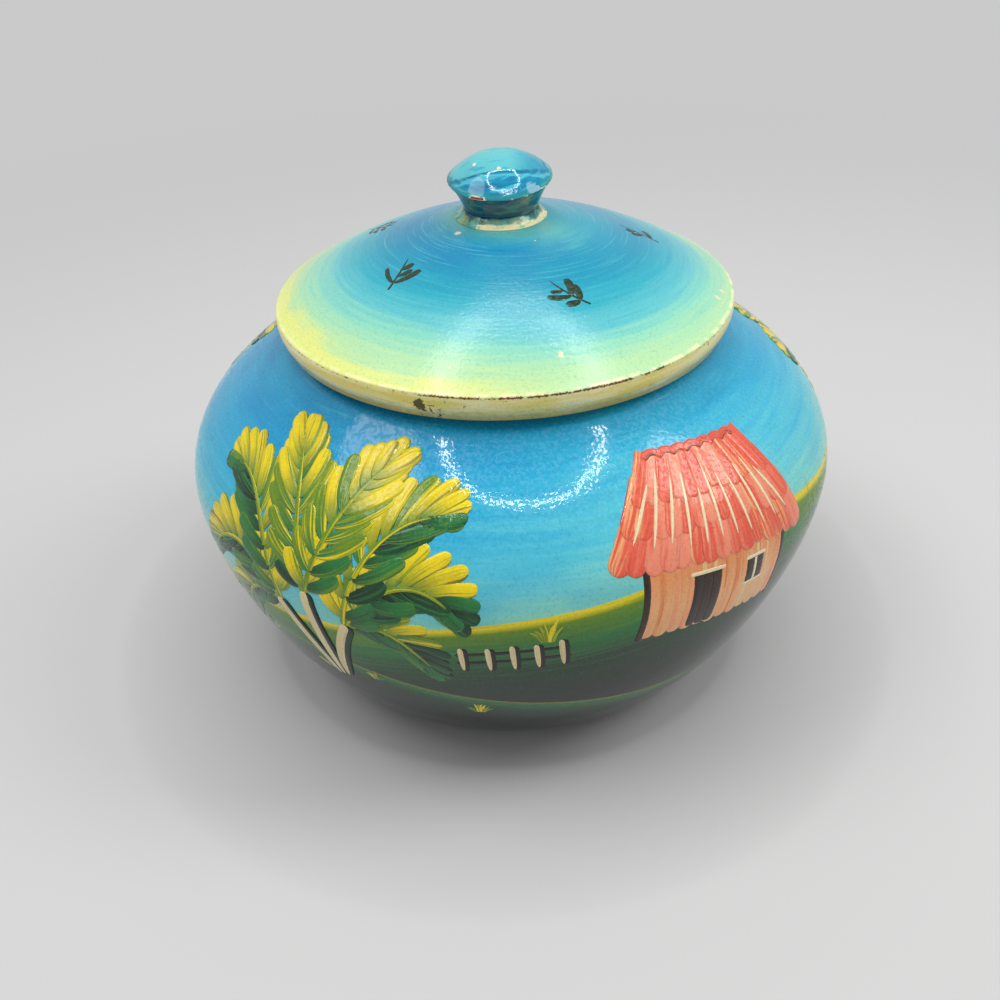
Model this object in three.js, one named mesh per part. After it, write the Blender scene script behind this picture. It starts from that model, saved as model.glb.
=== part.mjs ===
// Round trinket box: a squat hand-painted clay pot with a lid that lifts off by its knob.
// Lengths are in millimetres and slopes in degrees. +Z is up, and the origin is at the
// middle of the ground that the pot stands on. Every piece is turned about the Z axis.

import * as THREE from "three";

// Pot: outer form
const footRadius = 33.4; // outer edge of the flat land that it stands on
const footRounding = 3; // radius between the land and the wall
const footSlope = 35; // slope of the wall where it leaves the foot
const footPull = 14.5; // how far the wall holds on to that slope
const bellyRadius = 55; // widest line
const bellyHeight = 39.8;
const bellyPullBelow = 9; // how far the wall stays upright below the widest line
const bellyPullAbove = 9.4; // and above it
const rimRadius = 33.6; // outer edge of the flat rim that carries the lid
const rimHeight = 62.5;
const rimSlope = 30; // slope of the shoulder where it meets the rim
const rimPull = 14;

// Pot: hollow, mouth and foot
const wall = 4.5; // measured square to the wall
const floorHeight = 6; // top of the floor inside
const floorBlend = 9; // how far the curve between wall and floor reaches along the wall
const ringDepth = 0.3; // grooves that the thrower's fingers leave inside
const ringCount = 7;
const mouthRadius = 28.9;
const lipRounding = 0.9;
const landWidth = 6;
const recessDepth = 1.6; // trimmed hollow inside the land
const recessRamp = 3.2; // width of the slope between the two
const recessHollow = 0.27; // how far that slope is hollowed

// Lid
const seatClearance = 0.3; // between the lid's seat and the pot's rim
const flangeClearance = 1.1; // between the locating flange and the mouth
const flangeDepth = 5.2;
const flangeWall = 3.4;
const flangeRounding = 1;
const bandBottomRadius = 36.4; // lower edge of the band round the lid
const bandTopRadius = 37.3;
const bandHeight = 4.5;
const bandBulge = 0.25; // how far the band stands out from a straight line
const bandRounding = 0.9;
const arrisRounding = 1; // between the band and the dome
const domeRise = 11.9; // from the band's top to the crown
const domeBulge = 1.1; // how far the dome stands out from a straight cone
const crownRadius = 7.6; // flat land in the middle, where the knob is bedded
const lidThickness = 4.3; // at the crown
const hollowRadius = 10; // where the hollow below the crown starts to slope
const hollowEdgeHeight = 6; // above the seat, where the hollow meets the flange
const hollowRounding = 2.4;

// Knob, heights from the lid's crown
const neckRadius = 5.9;
const neckHeight = 1.7;
const knobRadius = 8.28; // sharp edge between the knob's shoulder and its undercut
const knobEdgeHeight = 6.2;
const undercutBulge = -0.2; // the undercut below that edge is slightly hollow
const knobTopRadius = 4.3; // where the shoulder turns into the shallow top
const knobTopHeight = 8.95;
const shoulderBulge = 0.2;
const knobHeight = 9.65;
const knobTopSlope = 17; // slope of the top at its edge
const knobTopPull = 1.6;

// Collar of slip round the knob's neck
const collarClearance = 0.3; // between the collar and the neck
const collarRadius = 7.4; // where it runs out on the crown
const collarHeight = 1.5;
const collarTopWidth = 0.35;
const collarEdge = 0.2; // thickness where it runs out
const collarHollow = 0.35; // depth of the curve between its two edges

// Facets round the axis
const largeFacets = 56;
const smallFacets = 40;

// Finishes
const sky = new THREE.MeshStandardMaterial({ color: 0x2f86ad, roughness: 0.22, metalness: 0 });
const lagoon = new THREE.MeshStandardMaterial({ color: 0x6fb9b4, roughness: 0.24, metalness: 0 });
const teal = new THREE.MeshStandardMaterial({ color: 0x2b7fa6, roughness: 0.16, metalness: 0 });
const slip = new THREE.MeshStandardMaterial({ color: 0xa9b57c, roughness: 0.3, metalness: 0 });

/** Point of a half section: distance from the axis, and height. */
const at = (radius, height) => new THREE.Vector2(radius, height);

/** Step of a given length at an angle above the outward direction. */
function heading(degrees, length) {
  const angle = THREE.MathUtils.degToRad(degrees);
  return at(length * Math.cos(angle), length * Math.sin(angle));
}

/** Curve that leaves one point along a step and reaches another along a second step. */
function sweep(from, leaving, to, arriving) {
  return new THREE.CubicBezierCurve(from, from.clone().add(leaving), to.clone().sub(arriving), to);
}

/** Shallow curve whose middle stands out from the straight line between its ends. */
function bow(from, to, bulge) {
  const chord = to.clone().sub(from);
  const outward = at(chord.y, -chord.x).normalize();
  const middle = from.clone().lerp(to, 0.5).addScaledVector(outward, 2 * bulge);
  return new THREE.QuadraticBezierCurve(from, middle, to);
}

/** Points beside a curve, on its left, at a distance that depends on the place along it. */
function beside(curve, distance, first, last, steps) {
  return Array.from({ length: steps + 1 }, (_, step) => {
    const place = THREE.MathUtils.lerp(first, last, step / steps);
    const along = curve.getTangentAt(place);
    return curve.getPointAt(place).addScaledVector(at(-along.y, along.x), distance(place));
  });
}

/** Half section of a turned piece, drawn with the clay on its left. */
class Section {
  constructor(start) {
    this.points = [start];
  }

  line(to) {
    this.points.push(to);
    return this;
  }

  through(points) {
    this.points.push(...points);
    return this;
  }

  curve(curve, steps) {
    return this.through(curve.getPoints(steps).slice(1));
  }

  /** Goes to a point round a corner, which it softens. */
  corner(corner, to, steps) {
    const start = this.points[this.points.length - 1];
    return this.curve(new THREE.QuadraticBezierCurve(start, corner, to), steps);
  }

  /** Mesh of the section turned about the Z axis. */
  turned(name, facets, material) {
    const geometry = new THREE.LatheGeometry(this.points, facets);
    geometry.rotateX(Math.PI / 2);
    const mesh = new THREE.Mesh(geometry, material);
    mesh.name = name;
    return mesh;
  }
}

/** Hollow pot with a trimmed foot, finger grooves inside and a flat rim round its mouth. */
function makePot() {
  const belly = at(bellyRadius, bellyHeight);
  const rimEdge = at(rimRadius, rimHeight);
  const footArc = new THREE.EllipseCurve(
    footRadius, footRounding, footRounding, footRounding,
    THREE.MathUtils.degToRad(-90), THREE.MathUtils.degToRad(footSlope - 90),
  );
  const footEdge = footArc.getPoint(1);
  const lower = sweep(
    footEdge, heading(footSlope, footPull), belly, heading(90, bellyPullBelow),
  );
  const shoulderAngle = 180 - rimSlope;
  const upper = sweep(
    belly, heading(90, bellyPullAbove), rimEdge, heading(shoulderAngle, rimPull),
  );

  // Inside, the wall keeps its thickness, less the grooves, from the mouth to the floor.
  const blendStart = floorBlend / lower.getLength();
  const evenWall = beside(upper, () => wall, 1, 0, 9);
  const grooved = (place) => {
    const turns = ringCount * ((1 - place) / (1 - blendStart));
    return wall - ringDepth * 0.5 * (1 - Math.cos(2 * Math.PI * turns));
  };
  const groovedWall = beside(lower, grooved, 1, blendStart, 4 * ringCount);
  const wallEnd = groovedWall[groovedWall.length - 1];
  const wallSlope = lower.getTangentAt(blendStart);
  const floorCorner = at(
    wallEnd.x - ((wallEnd.y - floorHeight) * wallSlope.x) / wallSlope.y, floorHeight,
  );
  const floorEdge = at(floorCorner.x - wallEnd.distanceTo(floorCorner), floorHeight);

  // The underside of the shoulder runs on to the mouth, where both edges are rounded.
  const shoulderEnd = evenWall[0];
  const lipCorner = at(
    mouthRadius,
    shoulderEnd.y + (shoulderEnd.x - mouthRadius) * Math.tan(THREE.MathUtils.degToRad(rimSlope)),
  );
  const rounding = Math.min(lipRounding, 0.4 * (rimHeight - lipCorner.y));
  const lipStart = lipCorner.clone().add(heading(-rimSlope, rounding));

  const landEdge = at(footRadius - landWidth, 0);
  const recessEdge = at(landEdge.x - recessRamp, recessDepth);
  return new Section(at(0, recessDepth))
    .line(recessEdge)
    .curve(bow(recessEdge, landEdge, -recessHollow), 3)
    .line(at(footRadius, 0))
    .curve(footArc, 3)
    .curve(lower, 12)
    .curve(upper, 10)
    .line(at(mouthRadius + rounding, rimHeight))
    .corner(at(mouthRadius, rimHeight), at(mouthRadius, rimHeight - rounding), 3)
    .line(at(mouthRadius, lipCorner.y + rounding))
    .corner(lipCorner, lipStart, 3)
    .through(evenWall)
    .through(groovedWall.slice(1))
    .corner(floorCorner, floorEdge, 4)
    .line(at(0, floorHeight))
    .turned("pot_body", largeFacets, sky);
}

/** Domed lid, heights from its seat: a band round the edge, a hollow and a flange below. */
function makeLid() {
  const crownHeight = bandHeight + domeRise;
  const flangeOuter = mouthRadius - flangeClearance;
  const flangeInner = flangeOuter - flangeWall;
  const flangeEdge = Math.min(flangeRounding, 0.4 * flangeWall);
  const root = 0.5 * flangeClearance;

  const hollowTop = crownHeight - lidThickness;
  const hollowCorner = at(flangeInner, hollowEdgeHeight);
  const hollowSlope = at(hollowRadius, hollowTop).sub(hollowCorner).normalize();
  const hollowEnd = hollowCorner.clone().addScaledVector(hollowSlope, hollowRounding);
  const hollow = new THREE.QuadraticBezierCurve(
    at(0, hollowTop), at(hollowRadius, hollowTop), hollowEnd,
  );

  const crownEdge = at(crownRadius, crownHeight);
  const arris = at(bandTopRadius, bandHeight);
  const domeSlope = crownEdge.clone().sub(arris).normalize();
  const domeStart = arris.clone().addScaledVector(domeSlope, arrisRounding);
  const bandStart = at(bandBottomRadius, bandRounding);
  const bandEnd = at(bandTopRadius, bandHeight - arrisRounding);

  return new Section(at(0, hollowTop))
    .curve(hollow, 6)
    .corner(hollowCorner, at(flangeInner, hollowEdgeHeight - hollowRounding), 3)
    .line(at(flangeInner, flangeEdge - flangeDepth))
    .corner(at(flangeInner, -flangeDepth), at(flangeInner + flangeEdge, -flangeDepth), 2)
    .line(at(flangeOuter - flangeEdge, -flangeDepth))
    .corner(at(flangeOuter, -flangeDepth), at(flangeOuter, flangeEdge - flangeDepth), 2)
    .line(at(flangeOuter, -root))
    .corner(at(flangeOuter, 0), at(flangeOuter + root, 0), 2)
    .line(at(bandBottomRadius - bandRounding, 0))
    .corner(at(bandBottomRadius, 0), bandStart, 3)
    .curve(bow(bandStart, bandEnd, bandBulge), 4)
    .corner(arris, domeStart, 3)
    .curve(bow(domeStart, crownEdge, domeBulge), 8)
    .line(at(0, crownHeight))
    .turned("lid", largeFacets, lagoon);
}

/** Knob on a short neck: an undercut, a sloping shoulder that bulges and a shallow domed top. */
function makeKnob() {
  const neck = at(neckRadius, neckHeight);
  const edge = at(knobRadius, knobEdgeHeight);
  const topEdge = at(knobTopRadius, knobTopHeight);
  const top = sweep(
    topEdge, heading(180 - knobTopSlope, knobTopPull),
    at(0, knobHeight), heading(180, knobTopPull),
  );
  return new Section(at(0, 0))
    .line(at(neckRadius, 0))
    .line(neck)
    .curve(bow(neck, edge, undercutBulge), 5)
    .curve(bow(edge, topEdge, shoulderBulge), 5)
    .curve(top, 4)
    .turned("lid_knob", smallFacets, teal);
}

/** Fillet of slip that beds the knob: a ring with a hollow outer side. */
function makeCollar() {
  const inner = neckRadius + collarClearance;
  const topEdge = at(inner + collarTopWidth, collarHeight);
  const outerEdge = at(collarRadius, collarEdge);
  return new Section(at(inner, 0))
    .line(at(collarRadius, 0))
    .line(outerEdge)
    .curve(bow(outerEdge, topEdge, -collarHollow), 4)
    .line(at(inner, collarHeight))
    .line(at(inner, 0))
    .turned("knob_collar", smallFacets, slip);
}

const knob = new THREE.Group();
knob.add(makeKnob(), makeCollar());
knob.position.z = bandHeight + domeRise;

const lid = new THREE.Group();
lid.add(makeLid(), knob);
lid.position.z = rimHeight + seatClearance;

const trinketBox = new THREE.Group();
trinketBox.add(makePot(), lid);

export default trinketBox;
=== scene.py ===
"""Looks of a round, hand-painted trinket box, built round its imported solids.

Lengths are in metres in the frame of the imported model: +Z is up, the origin is on the ground
under the middle of the pot, and the side that the viewer sees faces -Y. Drawings and finishes
work in millimetres. A turned piece is drawn as a section of radius and height, and swept round.
"""

from __future__ import annotations

import logging
import math
import random
from dataclasses import dataclass, field
from enum import Enum
from typing import Any

import bpy
import numpy as np
from mathutils import Matrix, Vector

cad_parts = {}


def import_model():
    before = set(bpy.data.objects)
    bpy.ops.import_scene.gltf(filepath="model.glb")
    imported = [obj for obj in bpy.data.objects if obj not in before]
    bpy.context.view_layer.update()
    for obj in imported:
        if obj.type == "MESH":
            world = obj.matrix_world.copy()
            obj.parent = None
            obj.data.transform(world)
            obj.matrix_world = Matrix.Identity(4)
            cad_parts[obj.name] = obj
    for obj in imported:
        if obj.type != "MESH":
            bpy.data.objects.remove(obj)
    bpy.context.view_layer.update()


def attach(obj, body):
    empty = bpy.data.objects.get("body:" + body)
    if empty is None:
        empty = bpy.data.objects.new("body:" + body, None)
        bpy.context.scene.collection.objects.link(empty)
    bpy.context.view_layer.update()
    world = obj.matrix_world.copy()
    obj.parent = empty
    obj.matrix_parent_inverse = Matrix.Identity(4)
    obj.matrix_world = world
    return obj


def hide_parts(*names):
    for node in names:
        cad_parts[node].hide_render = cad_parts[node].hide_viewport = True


LOG = logging.getLogger("trinket_box")
MM = 0.001
FRONT = -90.0
Colour = tuple[float, float, float]
Point = tuple[float, float]


def paint(red: int, green: int, blue: int) -> Colour:
    """Mixes a paint from its screen values.

    Args:
        red: Red, from 0 to 255.
        green: Green, from 0 to 255.
        blue: Blue, from 0 to 255.

    Returns:
        The linear colour, each value from 0 to 1.
    """

    def linear(level: int) -> float:
        """Undoes the screen's curve for one value."""
        share = level / 255
        return share / 12.92 if share <= 0.04045 else ((share + 0.055) / 1.055) ** 2.4

    return linear(red), linear(green), linear(blue)


@dataclass(frozen=True)
class Load:
    """What a double-loaded brush holds.

    Attributes:
        body: Colour of most of the stroke.
        streak: Colour along one side of it and in its bristle marks.
        heel: Colour of the body where the stroke starts, or nothing for its own.
    """

    body: Colour
    streak: Colour
    heel: Colour | None = None

    def at(self, share: float) -> Colour:
        """Colour of the body at a share of the stroke's length."""
        first = self.heel or self.body
        gone = min(share / 0.6, 1.0)
        red, green, blue = (a + (b - a) * gone for a, b in zip(first, self.body))
        return red, green, blue


class Paints:
    """Paints of the box, by a painter's names."""

    HIGH_SKY = paint(6, 136, 188)
    BRIGHT_SKY = paint(14, 156, 204)
    MIDDLE_SKY = paint(40, 176, 214)
    LOW_SKY = paint(84, 198, 216)
    PALE_SKY = paint(124, 212, 208)
    HAZE = paint(140, 214, 188)
    DEEP_BLUE = paint(0, 132, 178)
    SKY_BLUE = paint(4, 148, 180)
    PALE_BLUE = paint(38, 170, 190)
    TURQUOISE = paint(92, 192, 200)
    SEA_GREEN = paint(118, 190, 172)
    MINT = paint(140, 216, 190)
    LIME = paint(184, 228, 172)
    LEMON_LIME = paint(228, 236, 136)
    LEMON = paint(240, 214, 8)
    OLIVE_GOLD = paint(122, 122, 40)
    OCHRE = paint(160, 132, 48)
    GRASS = paint(104, 140, 26)
    LEAF = paint(36, 118, 56)
    BOTTLE = paint(20, 62, 36)
    PINE = paint(8, 24, 14)
    INK = paint(18, 18, 18)
    CREAM = paint(222, 204, 150)
    IVORY = paint(238, 224, 184)
    KHAKI = paint(196, 180, 92)
    STRAW = paint(230, 214, 108)
    VANILLA = paint(248, 240, 190)
    CORAL = paint(228, 92, 68)
    ROSE = paint(238, 142, 112)
    PEACH = paint(240, 176, 118)
    ORANGE = paint(218, 118, 62)
    BARK = paint(58, 40, 30)
    CLAY = paint(166, 94, 60)
    PALE_CLAY = paint(190, 124, 84)
    RUST = paint(112, 52, 32)
    TEAL = paint(14, 104, 138)
    DEEP_TEAL = paint(6, 84, 112)
    DEEP_SEA = paint(50, 138, 124)
    PALE_TEAL = paint(92, 198, 214)


class Value:
    """One output of a node. Python's operators on it add the nodes that work them out."""

    def __init__(self, tree: Tree, socket: bpy.types.NodeSocket) -> None:
        """Wraps a socket.

        Args:
            tree: Tree that the socket is in.
            socket: Output socket of a node.
        """
        self.tree = tree
        self.socket = socket

    def twin(self, name: str) -> Value:
        """Another output of the same node, by its name."""
        return Value(self.tree, self.socket.node.outputs[name])

    def parts(self) -> tuple[Value, Value, Value]:
        """The three numbers of a vector."""
        split = self.tree.node("ShaderNodeSeparateXYZ", inputs={0: self})
        return split, split.twin("Y"), split.twin("Z")

    def _two(self, operation: str, first: Any, second: Any) -> Value:
        """Adds a maths node, on vectors where either side is one.

        Args:
            operation: Name of the operation.
            first: Value or number on the left.
            second: Value or number on the right.

        Returns:
            The result.
        """
        vectors = Tree.is_vector(first) or Tree.is_vector(second)
        kind = "ShaderNodeVectorMath" if vectors else "ShaderNodeMath"
        return self.tree.node(kind, {"operation": operation}, {0: first, 1: second})

    def __add__(self, other: Any) -> Value:
        """Sum."""
        return self._two("ADD", self, other)

    def __radd__(self, other: Any) -> Value:
        """Sum, from the right."""
        return self._two("ADD", other, self)

    def __sub__(self, other: Any) -> Value:
        """Difference."""
        return self._two("SUBTRACT", self, other)

    def __rsub__(self, other: Any) -> Value:
        """Difference, from the right."""
        return self._two("SUBTRACT", other, self)

    def __mul__(self, other: Any) -> Value:
        """Product."""
        return self._two("MULTIPLY", self, other)

    def __rmul__(self, other: Any) -> Value:
        """Product, from the right."""
        return self._two("MULTIPLY", other, self)

    def __truediv__(self, other: Any) -> Value:
        """Quotient."""
        return self._two("DIVIDE", self, other)

    def __rtruediv__(self, other: Any) -> Value:
        """Quotient, from the right."""
        return self._two("DIVIDE", other, self)

    def __mod__(self, other: Any) -> Value:
        """Remainder of a division."""
        return self._two("MODULO", self, other)


class Tree:
    """A tree of shader or geometry nodes, filled by Python expressions."""

    def __init__(self, base: bpy.types.NodeTree) -> None:
        """Empties a node tree and wraps it.

        Args:
            base: Node tree of a material, a world or a geometry group.
        """
        self.base = base
        self.base.nodes.clear()
        self.entry: bpy.types.Node | None = None

    @classmethod
    def of_material(cls, name: str) -> tuple[bpy.types.Material, Tree]:
        """Starts a material.

        Args:
            name: Name of the material.

        Returns:
            The material and its empty tree.
        """
        material = bpy.data.materials.new(name)
        material.use_nodes = True
        return material, cls(material.node_tree)

    @classmethod
    def of_geometry(cls, name: str) -> Tree:
        """Starts a geometry tree, which has one geometry output."""
        group = bpy.data.node_groups.new(name, "GeometryNodeTree")
        group.interface.new_socket("Geometry", in_out="OUTPUT", socket_type="NodeSocketGeometry")
        tree = cls(group)
        tree.entry = group.nodes.new("NodeGroupInput")
        return tree

    @staticmethod
    def is_vector(item: Any) -> bool:
        """Whether a value or a plain tuple is a vector or a colour."""
        if isinstance(item, Value):
            return item.socket.type in ("VECTOR", "RGBA")
        return isinstance(item, (tuple, list, Vector))

    @staticmethod
    def _fitted(socket: bpy.types.NodeSocket, value: Any) -> Any:
        """Widens a number or a colour to what a socket takes.

        Args:
            socket: Input socket that will hold the value.
            value: Number, tuple, text or data block.

        Returns:
            The value, as long as the socket's own.
        """
        held = getattr(socket, "default_value", None)
        if not hasattr(held, "__len__") or isinstance(held, str):
            return value
        if not hasattr(value, "__len__"):
            return [value] * len(held)
        return list(value) + [1.0] * (len(held) - len(value))

    def node(
        self,
        kind: str,
        settings: dict[str, Any] | None = None,
        inputs: dict[int | str, Any] | None = None,
        output: int | str = 0,
    ) -> Value:
        """Adds a node.

        Args:
            kind: Type of the node.
            settings: Its own settings, set first; "stops" are the stops of a ramp.
            inputs: Values or links of its sockets, by index or name.
            output: Output to return, by index or name.

        Returns:
            The chosen output, or the first input of a node that has no output.
        """
        made = self.base.nodes.new(kind)
        for name, value in (settings or {}).items():
            if name == "stops":
                self._set_stops(made.color_ramp, value)
            else:
                setattr(made, name, value)
        for key, value in (inputs or {}).items():
            socket = made.inputs[key]
            if isinstance(value, Value):
                self.base.links.new(value.socket, socket)
            else:
                socket.default_value = self._fitted(socket, value)
        return Value(self, made.outputs[output] if made.outputs else made.inputs[0])

    @staticmethod
    def _set_stops(ramp: bpy.types.ColorRamp, stops: list[tuple[float, Colour]]) -> None:
        """Gives a colour ramp its stops.

        Args:
            ramp: The ramp.
            stops: Place from 0 to 1 and colour of each stop, in rising order.
        """
        while len(ramp.elements) < len(stops):
            ramp.elements.new(1.0)
        for element, (place, colour) in zip(ramp.elements, stops):
            element.position = place
            element.color = (*colour, 1.0)

    def maths(self, operation: str, *items: Any) -> Value:
        """Adds a Math node of one to three inputs."""
        return self.node("ShaderNodeMath", {"operation": operation}, dict(enumerate(items)))

    def vector(self, x: Any, y: Any, z: Any) -> Value:
        """Joins three numbers into a vector."""
        return self.node("ShaderNodeCombineXYZ", inputs={0: x, 1: y, 2: z})

    def smooth(self, item: Any, low: Any, high: Any) -> Value:
        """Rises smoothly from 0 where an item is low to 1 where it is high."""
        settings = {"interpolation_type": "SMOOTHSTEP"}
        return self.node("ShaderNodeMapRange", settings, {0: item, 1: low, 2: high})

    def noise(self, place: Value, scale: float, detail: float = 2.0, rough: float = 0.5) -> Value:
        """Soft noise from 0 to 1 at a place.

        Args:
            place: Where it is read.
            scale: How many bumps there are to a unit of place.
            detail: Number of finer layers.
            rough: How strong the finer layers are.

        Returns:
            The noise as a number.
        """
        sockets = {"Vector": place, "Scale": scale, "Detail": detail, "Roughness": rough}
        return self.node("ShaderNodeTexNoise", inputs=sockets)

    def blend(self, first: Any, second: Any, share: Any, mode: str = "MIX") -> Value:
        """Mixes two colours.

        Args:
            first: Colour where the share is 0.
            second: Colour where the share is 1.
            share: How much of the second is used.
            mode: How the second is laid on the first.

        Returns:
            The mixed colour.
        """
        settings = {"data_type": "RGBA", "blend_type": mode, "clamp_factor": True}
        return self.node("ShaderNodeMix", settings, {0: share, 6: first, 7: second}, output=2)

    def ramp(self, item: Any, low: float, high: float, stops: list[tuple[float, Colour]]) -> Value:
        """Colours a number by stops that are given on the number's own scale.

        Args:
            item: The number.
            low: The number at the ramp's start.
            high: The number at the ramp's end.
            stops: The number and colour of each stop, in rising order.

        Returns:
            The colour.
        """
        share = (item - low) * (1 / (high - low))
        shares = [((place - low) / (high - low), colour) for place, colour in stops]
        return self.node("ShaderNodeValToRGB", {"stops": shares}, {0: share})

    def add_input(self, name: str, kind: str) -> Value:
        """Adds a named input to a geometry tree.

        Args:
            name: Name of the input.
            kind: Type of its socket.

        Returns:
            The input as a value inside the tree.
        """
        self.base.interface.new_socket(name, in_out="INPUT", socket_type=kind)
        return Value(self, self.entry.outputs[name])

    def sampled(self, kind: str, geometry: Value, field_read: Value, index: Value) -> Value:
        """Reads a field of another geometry at one of its points.

        Args:
            kind: Data type of the field.
            geometry: Geometry that is read.
            field_read: Field that is worked out on it.
            index: Which point is read.

        Returns:
            The value found there.
        """
        sockets = {"Geometry": geometry, "Value": field_read, "Index": index}
        return self.node("GeometryNodeSampleIndex", {"data_type": kind}, sockets)

    def named(self, kind: str, name: str) -> Value:
        """Field of a named attribute."""
        return self.node("GeometryNodeInputNamedAttribute", {"data_type": kind}, {"Name": name})

    def stored(self, geometry: Value, kind: str, name: str, value: Value) -> Value:
        """Stores a field on a geometry's points under a name.

        Args:
            geometry: Geometry that gets the attribute.
            kind: Data type of the attribute.
            name: Name of the attribute.
            value: Field to store.

        Returns:
            The geometry.
        """
        sockets = {"Geometry": geometry, "Name": name, "Value": value}
        return self.node("GeometryNodeStoreNamedAttribute", {"data_type": kind}, sockets)

    def close(self, geometry: Value, material: Value) -> None:
        """Ends a geometry tree.

        Args:
            geometry: Finished geometry.
            material: Material that it gets.
        """
        real = self.node("GeometryNodeRealizeInstances", inputs={0: geometry})
        soft = self.node("GeometryNodeSetShadeSmooth", inputs={"Geometry": real})
        sockets = {"Geometry": soft, "Material": material}
        dressed = self.node("GeometryNodeSetMaterial", inputs=sockets)
        exit_node = self.base.nodes.new("NodeGroupOutput")
        self.base.links.new(dressed.socket, exit_node.inputs[0])

    def grow(self, name: str, inputs: dict[str, Any]) -> bpy.types.Object:
        """Runs a geometry tree once and keeps its result as a plain mesh.

        Args:
            name: Name of the new object.
            inputs: Value of each named input of the tree.

        Returns:
            The object, at the origin and without modifiers.
        """
        carrier = bpy.data.objects.new(name, bpy.data.meshes.new(name))
        bpy.context.scene.collection.objects.link(carrier)
        modifier = carrier.modifiers.new("grow", "NODES")
        modifier.node_group = self.base
        for item in self.base.interface.items_tree:
            if item.in_out == "INPUT":
                modifier[item.identifier] = inputs[item.name]
        graph = bpy.context.evaluated_depsgraph_get()
        grown = bpy.data.meshes.new_from_object(carrier.evaluated_get(graph), depsgraph=graph)
        carrier.modifiers.remove(modifier)
        carrier.data = grown
        grown.name = name
        return carrier


def sine(item: Value | float) -> Value | float:
    """Sine of a number, or of a value in nodes."""
    return item.tree.maths("SINE", item) if isinstance(item, Value) else math.sin(item)


def strayed(angle: Value, height: Value, amount: Value) -> Value:
    """How far a hand-turned wall strays inwards, from nothing to the full amount.

    Args:
        angle: Angle about the axis, in radians.
        height: Height, in metres.
        amount: Greatest stray, in metres.

    Returns:
        The stray, in metres, never above zero.
    """
    level = height / MM
    waves = sine(angle * 2 + level / 45) + 0.5 * sine(angle * 3 + level / 16 + 1.0)
    ripples = 0.3 * sine(angle * 7 + level / 5)
    return amount * ((waves + ripples) / 3.6 - 0.5)


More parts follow.
